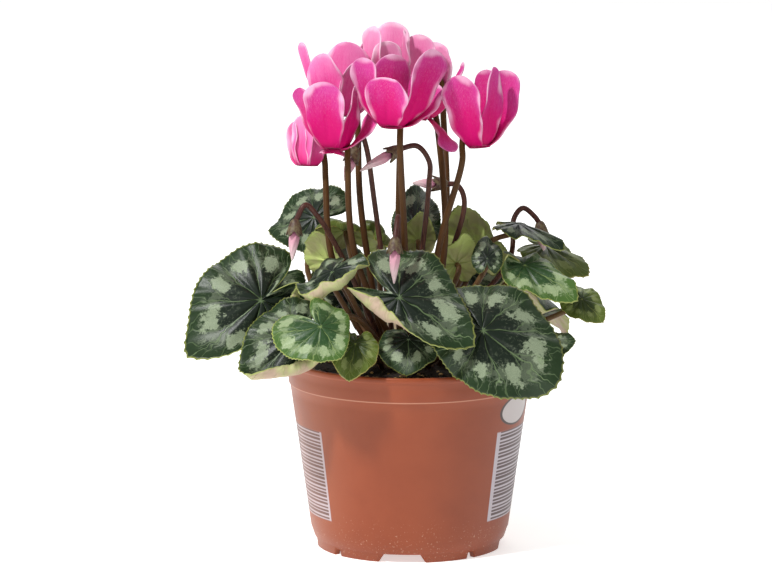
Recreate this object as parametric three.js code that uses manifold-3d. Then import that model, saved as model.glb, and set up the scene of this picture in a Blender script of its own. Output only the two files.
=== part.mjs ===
// A cyclamen in flower, growing in its round plastic nursery pot.
// Millimetres, +Z up. The origin is on the pot's axis, at the level of the surface that it stands on,
// and -Y is the side that faces the viewer.

import * as THREE from "three";
import { mergeVertices } from "three/addons/utils/BufferGeometryUtils.js";
import Module from "manifold-3d";

const wasm = await Module();
wasm.setup();

// Pot: a thin tapered shell with a band round its rim and a foot ring that is notched for drainage
const POT_HEIGHT = 93;
const POT_RIM_RADIUS = 60;
const POT_WALL = 1.1;
const POT_FOOT_RADIUS = 45.4;
const POT_FOOT_HEIGHT = 4.2;
const POT_FLOOR_TOP = 5.4;
const POT_BODY_RADIUS_LOW = 48.2;
const POT_BODY_RADIUS_HIGH = 58.3;
const POT_BAND_Z = 80.5;
const POT_SIDES = 26;
const PAD_RADIUS = 9;
const WIDE_NOTCHES = { count: 4, first: -5, width: 22.8, topWidth: 17.4, height: POT_FOOT_HEIGHT };
const NARROW_NOTCHES = { count: 4, first: -50, width: 4.4, topWidth: 4, height: 3 };

// Soil and tuber
const SOIL_TOP = 88.5;
const SOIL_BOTTOM = 5.8;
const FIT = 0.35;
const CROWN = { x: -3, y: 0, top: 94, radius: 29, depth: 26 };
const ROOT_DEPTH = 5;

// Stems
const PETIOLE_RADIUS = 1.35;
const STALK_RADIUS = 1.6;
const BUD_STALK_RADIUS = 1.3;
const STALK_SIDES = 5;
const PETIOLE_SIDES = 4;
const PETIOLE_PIECES = 4;
const STALK_PIECES = 10;
const BUD_STALK_PIECES = 9;

// Leaves and petals
const BLADE_THICKNESS = 0.8;
const PETAL_THICKNESS = 0.8;
const MOUTH_RADIUS = 5.8;
const CUP_HEIGHT = 6;
const CUP_SIDES = 6;

const COLOURS = {
  pot: [0xa85b41, 0.55],
  soil: [0x2b211b, 0.95],
  tuber: [0x5a4634, 0.9],
  leafDark: [0x27452d, 0.5],
  leafFresh: [0x4c7a35, 0.5],
  leafYellow: [0x7f8a35, 0.6],
  petal: [0xdc3c92, 0.55],
  stalk: [0x6b4a26, 0.45],
  bud: [0xe8a6c6, 0.55],
  budStalk: [0x4c2c26, 0.5],
};

const RADIANS = Math.PI / 180;

function vec(x, y, z) {
  return new THREE.Vector3(x, y, z);
}

// A colour of the table as a material
function materialOf(key) {
  const [color, roughness] = COLOURS[key];
  return new THREE.MeshStandardMaterial({ color, roughness, metalness: 0 });
}

// Points and triangles to a geometry with shared vertices
function geometryOf(points, triangles) {
  const geometry = new THREE.BufferGeometry();
  const flat = points.flatMap((p) => [p.x, p.y, p.z]);
  geometry.setAttribute("position", new THREE.Float32BufferAttribute(flat, 3));
  geometry.setIndex(triangles.flat());
  return geometry;
}

// A closed geometry to a solid that can be joined and cut
function solidOf(geometry) {
  const bare = geometry.clone();
  bare.deleteAttribute("normal");
  bare.deleteAttribute("uv");
  const merged = mergeVertices(bare, 1e-4);
  const vertProperties = new Float32Array(merged.attributes.position.array);
  const triVerts = new Uint32Array(merged.index.array);
  return new wasm.Manifold(new wasm.Mesh({ numProp: 3, vertProperties, triVerts }));
}

// A solid back to a geometry
function geometryOfSolid(solid) {
  const { vertProperties, triVerts } = solid.getMesh();
  const geometry = new THREE.BufferGeometry();
  geometry.setAttribute("position", new THREE.BufferAttribute(new Float32Array(vertProperties), 3));
  geometry.setIndex(Array.from(triVerts));
  geometry.computeVertexNormals();
  return geometry;
}

const plant = new THREE.Group();

// Adds one named piece to the plant
function addPiece(name, solid, colour) {
  const mesh = new THREE.Mesh(geometryOfSolid(solid), materialOf(colour));
  mesh.name = name;
  plant.add(mesh);
}

// Joins a list of solids that overlap
function joined(solids) {
  return solids.reduce((sum, solid) => sum.add(solid));
}

// A closed tube of round section along a list of points. The radius may change from point to point.
function tube(points, radii, sides) {
  const rings = [];
  let side = null;
  for (let i = 0; i < points.length; i += 1) {
    const before = points[Math.max(i - 1, 0)];
    const after = points[Math.min(i + 1, points.length - 1)];
    const along = after.clone().sub(before).normalize();
    side = side ?? (Math.abs(along.x) < 0.9 ? vec(1, 0, 0) : vec(0, 1, 0));
    side = side.clone().addScaledVector(along, -side.dot(along)).normalize();
    const across = along.clone().cross(side);
    for (let k = 0; k < sides; k += 1) {
      const angle = (k / sides) * 2 * Math.PI;
      const ringPoint = points[i].clone();
      ringPoint.addScaledVector(side, radii[i] * Math.cos(angle));
      ringPoint.addScaledVector(across, radii[i] * Math.sin(angle));
      rings.push(ringPoint);
    }
  }
  const triangles = [];
  for (let i = 0; i + 1 < points.length; i += 1) {
    for (let k = 0; k < sides; k += 1) {
      const a = i * sides + k;
      const b = i * sides + ((k + 1) % sides);
      triangles.push([a, b, b + sides], [a, b + sides, a + sides]);
    }
  }
  const last = (points.length - 1) * sides;
  for (let k = 1; k + 1 < sides; k += 1) {
    triangles.push([0, k + 1, k], [last, last + k, last + k + 1]);
  }
  return solidOf(geometryOf(rings, triangles));
}

// Thickens an open patch of triangles into a closed sheet. rim lists the patch's edge vertices in order.
function thicken(points, triangles, rim, thickness) {
  const normals = points.map(() => vec(0, 0, 0));
  for (const [a, b, c] of triangles) {
    const ab = points[b].clone().sub(points[a]);
    const normal = ab.cross(points[c].clone().sub(points[a]));
    normals[a].add(normal);
    normals[b].add(normal);
    normals[c].add(normal);
  }
  normals.forEach((normal) => normal.normalize());
  const upper = points.map((p, i) => p.clone().addScaledVector(normals[i], thickness / 2));
  const lower = points.map((p, i) => p.clone().addScaledVector(normals[i], -thickness / 2));
  const count = points.length;
  const faces = [...triangles];
  for (const [a, b, c] of triangles) {
    faces.push([a + count, c + count, b + count]);
  }
  rim.forEach((a, i) => {
    const b = rim[(i + 1) % rim.length];
    faces.push([a, a + count, b + count], [a, b + count, b]);
  });
  return solidOf(geometryOf([...upper, ...lower], faces));
}

// Leaf blade

const RING_PLACES = [0.38, 0.72, 1];
const RING_COUNTS = [7, 14, 28];
const SMALL_RING_COUNTS = [6, 12, 24];
const TOOTH = 0.03;
const SINUS_WIDTH = 12;

// How far the heart-shaped outline reaches at an angle from the tip, as a share of the leaf's length
function outline(leaf, degrees) {
  const turn = degrees * RADIANS;
  const nib = 0.07 * Math.exp(-((degrees / 14) ** 2));
  const round = 0.64 + 0.215 * Math.cos(turn) + 0.075 * Math.cos(2 * turn) + nib;
  const pointed = 0.58 + 0.04 * Math.cos(turn) + 0.38 * Math.exp(-((Math.abs(degrees) / 26) ** 1.3));
  const point = leaf.point ?? 0.75;
  const lobes = ((leaf.lobe ?? 0) * (1 - Math.cos(turn))) / 2;
  const fromSinus = (180 - Math.abs(degrees)) / (leaf.sinus ?? SINUS_WIDTH);
  const sinus = 1 - 0.75 * Math.exp(-(fromSinus ** 2));
  const skew = 1 + (leaf.skew ?? 0) * Math.sin(turn);
  return (round * (1 - point) + pointed * point + lobes) * sinus * skew;
}

// The smaller turn between two directions in degrees
function turnBetween(a, b) {
  return Math.abs(((a - b + 540) % 360) - 180);
}

const CUP_SLOPE = -8;
const CURL_SLOPE = -14;
const WAVE_SLOPE = 9;
const WAVES = 5;

// How steeply the blade rises at an angle and at a share of the way out to its margin. It sinks and curls
// down, waves round the margin, and each bend of the leaf lifts one side of it.
function slope(leaf, degrees, share) {
  let rise = CUP_SLOPE + CURL_SLOPE * share;
  rise += WAVE_SLOPE * Math.sin(WAVES * degrees * RADIANS) * share;
  for (const bend of leaf.bends ?? []) {
    const near = Math.exp(-((turnBetween(degrees, bend.at) / bend.over) ** 2));
    const start = bend.from ?? 0.45;
    const out = Math.min(Math.max((share - start) / (1 - start), 0), 1);
    rise += bend.up * near * out;
  }
  return rise * RADIANS;
}

// The blade's own axes: along to the tip, across, and up out of the upper face
function bladeAxes(leaf) {
  const along = leaf.tip.clone().sub(leaf.base).normalize();
  const up = vec(0, 0, 1).addScaledVector(along, -along.z).normalize();
  up.applyAxisAngle(along, (leaf.twist ?? 0) * RADIANS);
  return { along, up, across: up.clone().cross(along) };
}

const SLOPE_STEPS = 8;

// A point of the blade: the slope is followed outwards from the stalk, so the sheet isn't stretched
function bladePoint(leaf, axes, degrees, share, reach) {
  const length = leaf.tip.distanceTo(leaf.base) * reach;
  const forward = Math.cos(degrees * RADIANS);
  const sideways = Math.sin(degrees * RADIANS) * (leaf.width ?? 1);
  let level = 0;
  let height = 0;
  for (let i = 0; i < SLOPE_STEPS; i += 1) {
    const angle = slope(leaf, degrees, (share * (i + 0.5)) / SLOPE_STEPS);
    level += (Math.cos(angle) * share * length) / SLOPE_STEPS;
    height += (Math.sin(angle) * share * length) / SLOPE_STEPS;
  }
  const point = leaf.base.clone();
  point.addScaledVector(axes.along, level * forward);
  point.addScaledVector(axes.across, level * sideways);
  point.addScaledVector(axes.up, height * Math.hypot(forward, sideways));
  return point;
}

// The toothed, waved blade: rings of points round the stalk's end, each ring finer than the one inside it
function blade(leaf) {
  const axes = bladeAxes(leaf);
  const counts = leaf.small ? SMALL_RING_COUNTS : RING_COUNTS;
  const points = [leaf.base.clone()];
  const starts = [];
  counts.forEach((count, ring) => {
    starts.push(points.length);
    for (let k = 0; k < count; k += 1) {
      const degrees = -180 + (360 * k) / count;
      const onRim = ring === counts.length - 1;
      const tooth = onRim && k > 0 ? TOOTH * (k % 2 ? 1 : -1) : 0;
      const reach = outline(leaf, degrees) * (1 + tooth);
      points.push(bladePoint(leaf, axes, degrees, RING_PLACES[ring], reach));
    }
  });
  const triangles = [];
  for (let k = 0; k < counts[0]; k += 1) {
    triangles.push([0, starts[0] + k, starts[0] + ((k + 1) % counts[0])]);
  }
  for (let ring = 0; ring + 1 < counts.length; ring += 1) {
    const inner = (k) => starts[ring] + (k % counts[ring]);
    const outer = (k) => starts[ring + 1] + (k % counts[ring + 1]);
    for (let k = 0; k < counts[ring]; k += 1) {
      triangles.push([inner(k), outer(2 * k), outer(2 * k + 1)]);
      triangles.push([inner(k), outer(2 * k + 1), inner(k + 1)]);
      triangles.push([inner(k + 1), outer(2 * k + 1), outer(2 * k + 2)]);
    }
  }
  const rimCount = counts.at(-1);
  const rim = Array.from({ length: rimCount }, (_, k) => starts.at(-1) + k);
  return thicken(points, triangles, rim, BLADE_THICKNESS);
}

// Stems spring from places round the crown and stand in plain holes in the tuber

const CROWN_LEAN = 34;

// The foot of a stem, sunk into the crown, and the direction in which it leaves
function crownPlace(degrees, radius) {
  const angle = degrees * RADIANS;
  const lean = (CROWN_LEAN * radius * RADIANS) / CROWN.radius;
  const direction = vec(Math.cos(angle) * Math.sin(lean), Math.sin(angle) * Math.sin(lean), Math.cos(lean));
  const drop = Math.cos(Math.asin(radius / CROWN.radius));
  const surface = CROWN.top - CROWN.depth / 2 + (CROWN.depth / 2) * drop;
  const foot = vec(CROWN.x + radius * Math.cos(angle), CROWN.y + radius * Math.sin(angle), surface);
  return { foot: foot.addScaledVector(direction, -ROOT_DEPTH), direction };
}

const holes = [];
const HOLE_SIDES = 4;

// Notes a hole for a stem, a little wider and deeper than the stem
function addHole(place, radius) {
  const from = place.foot.clone().addScaledVector(place.direction, -FIT);
  const to = place.foot.clone().addScaledVector(place.direction, ROOT_DEPTH + 8);
  const reach = (radius + FIT) * Math.SQRT2;
  holes.push(tube([from, to], [reach, reach], HOLE_SIDES));
}

// Points along a smooth stem from the crown through the given points
function stemPoints(place, through, pieces) {
  const straight = place.foot.clone().addScaledVector(place.direction, ROOT_DEPTH + 3);
  const curve = new THREE.CatmullRomCurve3([straight, ...through], false, "centripetal");
  return [place.foot, ...curve.getPoints(pieces)];
}

// One leaf: its blade and the stalk that carries it
function addLeaf(name, leaf) {
  const { along, up } = bladeAxes(leaf);
  const place = crownPlace(...leaf.crown);
  addHole(place, PETIOLE_RADIUS);
  const end = leaf.base.clone().addScaledVector(up, -0.1);
  const neck = leaf.base.clone().addScaledVector(up, -4).addScaledVector(along, -0.8);
  const points = stemPoints(place, [...(leaf.via ?? []), neck, end], PETIOLE_PIECES);
  const radii = points.map((_, i) => PETIOLE_RADIUS * (i === points.length - 1 ? 0.7 : 1));
  addPiece(name, joined([blade(leaf), tube(points, radii, PETIOLE_SIDES)]), leaf.colour ?? "leafDark");
}

// Flowers

const PETAL_ROWS = [0, 0.2, 0.5, 0.8, 1];
const WIDEST = 0.74;

// Half the petal's width at a share of its length: narrow at the mouth, widest past the middle, blunt tip
function petalHalfWidth(petal, share) {
  const narrow = MOUTH_RADIUS * 0.4;
  const wide = petal.width / 2;
  if (share < WIDEST) {
    const way = share / WIDEST;
    return narrow + (wide - narrow) * way ** 1.4 * (1.23 - 0.23 * way ** 6);
  }
  return wide * Math.sqrt(Math.max(1 - ((share - WIDEST) / 0.28) ** 2.4, 0.02));
}

// The petal's middle line: out over the rim of the mouth, then up and back to the tip
function petalLine(bloom, petal) {
  const angle = petal.from * RADIANS;
  const outward = bloom.side.clone().multiplyScalar(Math.cos(angle));
  outward.addScaledVector(bloom.across, Math.sin(angle));
  const root = bloom.mouth.clone().addScaledVector(outward, MOUTH_RADIUS - 1.8);
  root.addScaledVector(bloom.axis, 1.8);
  const turn = bloom.mouth.clone().addScaledVector(outward, MOUTH_RADIUS + 2);
  turn.addScaledVector(bloom.axis, -2);
  const rise = petal.tip.clone().sub(root);
  const shoulder = petal.tip.clone().addScaledVector(rise, -0.42);
  shoulder.addScaledVector(outward, petal.belly ?? 3);
  return { curve: new THREE.CubicBezierCurve3(root, turn, shoulder, petal.tip), outward };
}

// One petal as a thin sheet, twisted and cupped along its middle line
function petalSheet(bloom, petal) {
  const { curve, outward } = petalLine(bloom, petal);
  const sideways = bloom.axis.clone().cross(outward);
  const columns = petal.columns ?? 2;
  const points = [];
  for (const share of PETAL_ROWS) {
    const middle = curve.getPoint(share);
    const along = curve.getTangent(share);
    const across = sideways.clone().addScaledVector(along, -sideways.dot(along)).normalize();
    const twist = (petal.twist ?? -12) * share ** 1.3 * RADIANS;
    across.applyAxisAngle(along, twist);
    const facing = across.clone().cross(along);
    const half = petalHalfWidth(petal, share);
    for (let k = 0; k <= columns; k += 1) {
      const side = (2 * k) / columns - 1;
      const cup = (petal.cup ?? 0.18) * half * side * side * Math.sin(share * Math.PI * 0.8);
      points.push(middle.clone().addScaledVector(across, half * side).addScaledVector(facing, cup));
    }
  }
  const stride = columns + 1;
  const rows = PETAL_ROWS.length;
  const triangles = [];
  for (let row = 0; row + 1 < rows; row += 1) {
    for (let k = 0; k < columns; k += 1) {
      const a = row * stride + k;
      if (k < columns / 2) {
        triangles.push([a, a + 1, a + stride], [a + 1, a + stride + 1, a + stride]);
      } else {
        triangles.push([a, a + 1, a + stride + 1], [a, a + stride + 1, a + stride]);
      }
    }
  }
  const foot = Array.from({ length: columns }, (_, k) => k);
  const right = Array.from({ length: rows - 1 }, (_, row) => row * stride + columns);
  const tip = Array.from({ length: columns }, (_, k) => rows * stride - 1 - k);
  const left = Array.from({ length: rows - 1 }, (_, row) => (rows - 1 - row) * stride);
  return thicken(points, triangles, [...foot, ...right, ...tip, ...left], PETAL_THICKNESS);
}

// The cup that the petals spring from: closed above, open at the mouth below
function mouthCup(bloom) {
  const profile = [
    [0, CUP_HEIGHT],
    [3.2, CUP_HEIGHT],
    [MOUTH_RADIUS + 0.4, 0],
    [MOUTH_RADIUS - 1.5, 0],
    [2.2, CUP_HEIGHT - 1.4],
    [0, CUP_HEIGHT - 1.4],
  ];
  const section = profile.map(([r, z]) => new THREE.Vector2(r, -z));
  const lathe = new THREE.LatheGeometry(section, CUP_SIDES);
  const toWorld = new THREE.Matrix4().makeBasis(bloom.side, bloom.axis.clone().negate(), bloom.across);
  toWorld.setPosition(bloom.mouth);
  lathe.applyMatrix4(toWorld);
  return solidOf(lathe);
}

// The five-pointed calyx at the end of a stalk, as a short pyramid with five ribs
function calyx(centre, axis, reach, height) {
  const side = vec(0, 1, 0).addScaledVector(axis, -axis.y).normalize();
  const across = axis.clone().cross(side);
  const points = [centre.clone().addScaledVector(axis, -0.2), centre.clone().addScaledVector(axis, height)];
  for (let k = 0; k < 10; k += 1) {
    const angle = (k / 10) * 2 * Math.PI;
    const radius = k % 2 ? reach * 0.62 : reach;
    const point = centre.clone().addScaledVector(axis, k % 2 ? 0.5 : -1.2);
    point.addScaledVector(side, radius * Math.cos(angle));
    point.addScaledVector(across, radius * Math.sin(angle));
    points.push(point);
  }
  const triangles = [];
  for (let k = 0; k < 10; k += 1) {
    const a = 2 + k;
    const b = 2 + ((k + 1) % 10);
    triangles.push([0, b, a], [1, a, b]);
  }
  return solidOf(geometryOf(points, triangles));
}

// The stalk's way up between two petals, over the cup and down to the calyx, as pairs of the distance from
// the flower's axis and the height above its mouth
const HOOK = [[9, -5], [8.4, 3], [6.4, 10.5], [2.6, 13.5]];

// One flower: the corolla is one piece, the stalk with the calyx another
function addBloom(name, bloom) {
  bloom.axis = bloom.axis.clone().normalize();
  bloom.side = vec(1, 0, 0).addScaledVector(bloom.axis, -bloom.axis.x).normalize();
  bloom.across = bloom.axis.clone().cross(bloom.side);
  const petals = bloom.petals.map((petal) => petalSheet(bloom, petal));
  addPiece(`${name}_petals`, joined([mouthCup(bloom), ...petals]), "petal");
  const place = crownPlace(...bloom.crown);
  addHole(place, STALK_RADIUS);
  const pass = bloom.pass * RADIANS;
  const outward = bloom.side.clone().multiplyScalar(Math.cos(pass));
  outward.addScaledVector(bloom.across, Math.sin(pass));
  const hook = HOOK.map(([out, height]) => {
    const point = bloom.mouth.clone().addScaledVector(outward, out);
    return point.addScaledVector(bloom.axis, height);
  });
  const seat = bloom.mouth.clone().addScaledVector(bloom.axis, CUP_HEIGHT + 1.6);
  const points = stemPoints(place, [...bloom.stalk, ...hook, seat], STALK_PIECES);
  const radii = points.map((_, i) => STALK_RADIUS * (1 - (0.3 * i) / points.length));
  const stalk = joined([tube(points, radii, STALK_SIDES), calyx(seat, bloom.axis, 3.6, 4)]);
  addPiece(`${name}_stalk`, stalk, "stalk");
}

// Buds hang their heads: a stalk that hooks over, and closed petals wound into a point

const BUD_RINGS = [0, 0.25, 0.55, 0.82, 1];
const BUD_SWELL = [0.5, 1, 0.8, 0.42, 0.12];
const BUD_RADIUS = 2.7;
const BUD_FLUTES = 5;
const BUD_TWIST = 100;

function budPetals(neck, tip) {
  const axis = tip.clone().sub(neck).normalize();
  const side = vec(0, 1, 0).addScaledVector(axis, -axis.y).normalize();
  const across = axis.clone().cross(side);
  const sides = 2 * BUD_FLUTES;
  const points = [];
  BUD_RINGS.forEach((share, ring) => {
    const centre = neck.clone().lerp(tip, share);
    for (let k = 0; k < sides; k += 1) {
      const angle = (k / sides) * 2 * Math.PI + share * BUD_TWIST * RADIANS;
      const reach = BUD_RADIUS * BUD_SWELL[ring] * (k % 2 ? 0.8 : 1);
      const point = centre.clone().addScaledVector(side, reach * Math.cos(angle));
      points.push(point.addScaledVector(across, reach * Math.sin(angle)));
    }
  });
  const triangles = [];
  for (let ring = 0; ring + 1 < BUD_RINGS.length; ring += 1) {
    for (let k = 0; k < sides; k += 1) {
      const a = ring * sides + k;
      const b = ring * sides + ((k + 1) % sides);
      triangles.push([a, b, b + sides], [a, b + sides, a + sides]);
    }
  }
  const last = (BUD_RINGS.length - 1) * sides;
  for (let k = 1; k + 1 < sides; k += 1) {
    triangles.push([0, k + 1, k], [last, last + k, last + k + 1]);
  }
  return solidOf(geometryOf(points, triangles));
}

function addBud(name, bud) {
  const axis = bud.tip.clone().sub(bud.neck).normalize();
  const start = bud.neck.clone().addScaledVector(axis, 4 + FIT);
  addPiece(`${name}_petals`, budPetals(start, bud.tip), "bud");
  const place = crownPlace(...bud.crown);
  addHole(place, BUD_STALK_RADIUS);
  const points = stemPoints(place, [...bud.stalk, bud.neck], BUD_STALK_PIECES);
  const radii = points.map(() => BUD_STALK_RADIUS);
  const cap = calyx(bud.neck.clone().addScaledVector(axis, 3), axis.clone().negate(), 3.2, 4);
  addPiece(`${name}_stalk`, joined([tube(points, radii, STALK_SIDES), cap]), "budStalk");
}

// The leaves, by where the stalk meets the blade and where the tip lies. crown gives the direction and the
// distance from the crown's middle at which the stalk stands.

const LEAVES = {
  left_outer: {
    base: vec(-71.5, -22, 124), tip: vec(-106, -40, 101),
    crown: [198, 21], twist: -60, lobe: 0.15, width: 0.96, skew: -0.08,
    bends: [{ at: 135, over: 45, up: 200, from: 0.4 }, { at: 60, over: 40, up: 190, from: 0.55 }],
  },
  left_low: {
    base: vec(-53, -44, 112), tip: vec(-80.5, -64, 89),
    crown: [219, 21], twist: -45, lobe: 0.05, skew: 0.12,
    bends: [{ at: 80, over: 65, up: 210, from: 0.45 }, { at: 20, over: 30, up: 150, from: 0.7 }],
  },
  front_bright: {
    base: vec(-42.5, -69, 119.7), tip: vec(-32, -79, 108.5),
    crown: [247, 15], twist: 28, width: 1.2, lobe: 0.6, point: 0.5, skew: -0.14, colour: "leafFresh",
    via: [vec(-28, -43, 120)],
  },
  front_left_high: {
    base: vec(-37, -41, 141), tip: vec(-49, -55, 123.5),
    crown: [226, 15], twist: 10, width: 1.35, lobe: 0.08,
    bends: [{ at: 25, over: 75, up: 180, from: 0.5 }],
  },
  centre_big: {
    base: vec(-5.5, -58, 131.7), tip: vec(30, -74, 115.2),
    crown: [270, 15], twist: 48, lobe: 0.25, width: 0.95, point: 1, skew: 0.08, sinus: 20,
    bends: [{ at: -100, over: 62, up: 200, from: 0.3 }],
  },
  right_big: {
    base: vec(34, -56, 115.5), tip: vec(71, -68, 93.5),
    crown: [304, 21], twist: 50, point: 0.2, lobe: 0.12, width: 1.0, skew: 0.1,
  },
  front_small: {
    base: vec(-26, -58, 109.5), tip: vec(-30, -72, 96.5),
    crown: [240, 21], small: true, point: 0.5, colour: "leafYellow",
  },
  front_low: {
    base: vec(-1, -47, 109.5), tip: vec(-2, -60, 96.5),
    crown: [258, 21], width: 1.45, small: true,
  },
  right_high: {
    base: vec(55, -11, 139), tip: vec(81.5, -26, 131),
    crown: [343, 15], twist: 22, width: 0.82, colour: "leafFresh",
    bends: [{ at: -150, over: 40, up: 190, from: 0.35 }],
  },
  right_top: {
    base: vec(52.5, 2, 157), tip: vec(76.5, -4, 152.5),
    crown: [358, 15], twist: 0, width: 0.9,
    via: [vec(38, 6, 147)],
  },
  centre_right_pale: {
    base: vec(22.5, 0.5, 138), tip: vec(24.5, -5, 156.5),
    crown: [300, 15], colour: "leafYellow",
  },
  back_right_pale: {
    base: vec(33, 27, 142), tip: vec(26.5, 16, 169),
    crown: [40, 15], width: 1, skew: 0.1, colour: "leafYellow",
  },
  back_left_roll: {
    base: vec(-31, 9, 153), tip: vec(-47.5, 3, 162.5),
    crown: [146, 15], small: true, twist: 42, width: 1.1, colour: "leafYellow",
    bends: [{ at: 60, over: 60, up: -170, from: 0.6 }],
  },
  back_mid_roll: {
    base: vec(-12, 14, 147), tip: vec(-20, 9, 166.5),
    crown: [122, 15], width: 1.45, colour: "leafYellow",
    bends: [{ at: 0, over: 70, up: -170, from: 0.6 }],
  },
  back_centre: {
    base: vec(3, 34, 150), tip: vec(4, 50, 173),
    crown: [80, 15], width: 0.75,
    bends: [{ at: 90, over: 40, up: 40, from: 0.4 }, { at: -90, over: 40, up: 40, from: 0.4 }],
  },
  back_left: {
    base: vec(-46.5, 26, 156.5), tip: vec(-72, 32, 151.5),
    crown: [156, 21], twist: -55, lobe: 0.2, width: 1.05, skew: -0.08,
    via: [vec(-50, 26, 130)],
  },
  far_right_pale: {
    base: vec(66.5, 28, 142), tip: vec(89, 16, 135),
    crown: [29, 21], twist: 10, colour: "leafYellow",
    via: [vec(50, 14, 129)],
  },
  far_right_low: {
    base: vec(83, -6, 121.5), tip: vec(94, -14, 114),
    crown: [346, 21], small: true, twist: 30, lobe: 0.2, colour: "leafYellow",
  },
  right_low: {
    base: vec(66, -14, 100.5), tip: vec(78.5, -18, 106),
    crown: [325, 21], small: true, twist: 40, width: 1.2,
  },
  right_pink: {
    base: vec(63.5, 10, 110.5), tip: vec(76, 4, 118.5),
    crown: [8, 21], small: true, sinus: 18, colour: "leafYellow",
  },
  right_small: {
    base: vec(37, -19.5, 143.5), tip: vec(37, -9, 155.5),
    crown: [322, 15], small: true, width: 0.85, sinus: 18,
  },
  left_behind: {
    base: vec(-72, 12, 123), tip: vec(-94, 2, 99),
    crown: [177, 21], twist: -60, lobe: 0.15,
  },
  left_inner: {
    base: vec(-39, -1, 139.5), tip: vec(-43, -6, 158),
    crown: [172, 15], width: 1.1, colour: "leafYellow",
  },
  centre_pale: {
    base: vec(4, 20, 146), tip: vec(4.5, 15, 164),
    crown: [60, 15], small: true, width: 0.8, sinus: 18, colour: "leafYellow",
  },
  rear_right: {
    base: vec(56, 50, 118), tip: vec(84, 71, 97),
    crown: [50, 21], small: true,
  },
  rear_mid_right: {
    base: vec(27, 42, 128), tip: vec(32, 56, 153),
    crown: [71, 21], small: true, width: 1.2,
  },
  rear_middle: {
    base: vec(2.5, 66, 108), tip: vec(1.5, 102, 85),
    crown: [92, 21], small: true,
  },
  rear_mid_left: {
    base: vec(-30.5, 44, 114), tip: vec(-33.5, 54, 149),
    crown: [116, 21], small: true, width: 0.85,
    via: [vec(-28.5, 45.5, 103)],
  },
  rear_left: {
    base: vec(-69, 51, 111), tip: vec(-94, 75, 91),
    crown: [135, 21], small: true,
  },
};

for (const [name, leaf] of Object.entries(LEAVES)) {
  addLeaf(`leaf_${name}`, leaf);
}

// The open flowers: where the mouth is, how the flower hangs, and the tip of each petal

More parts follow.
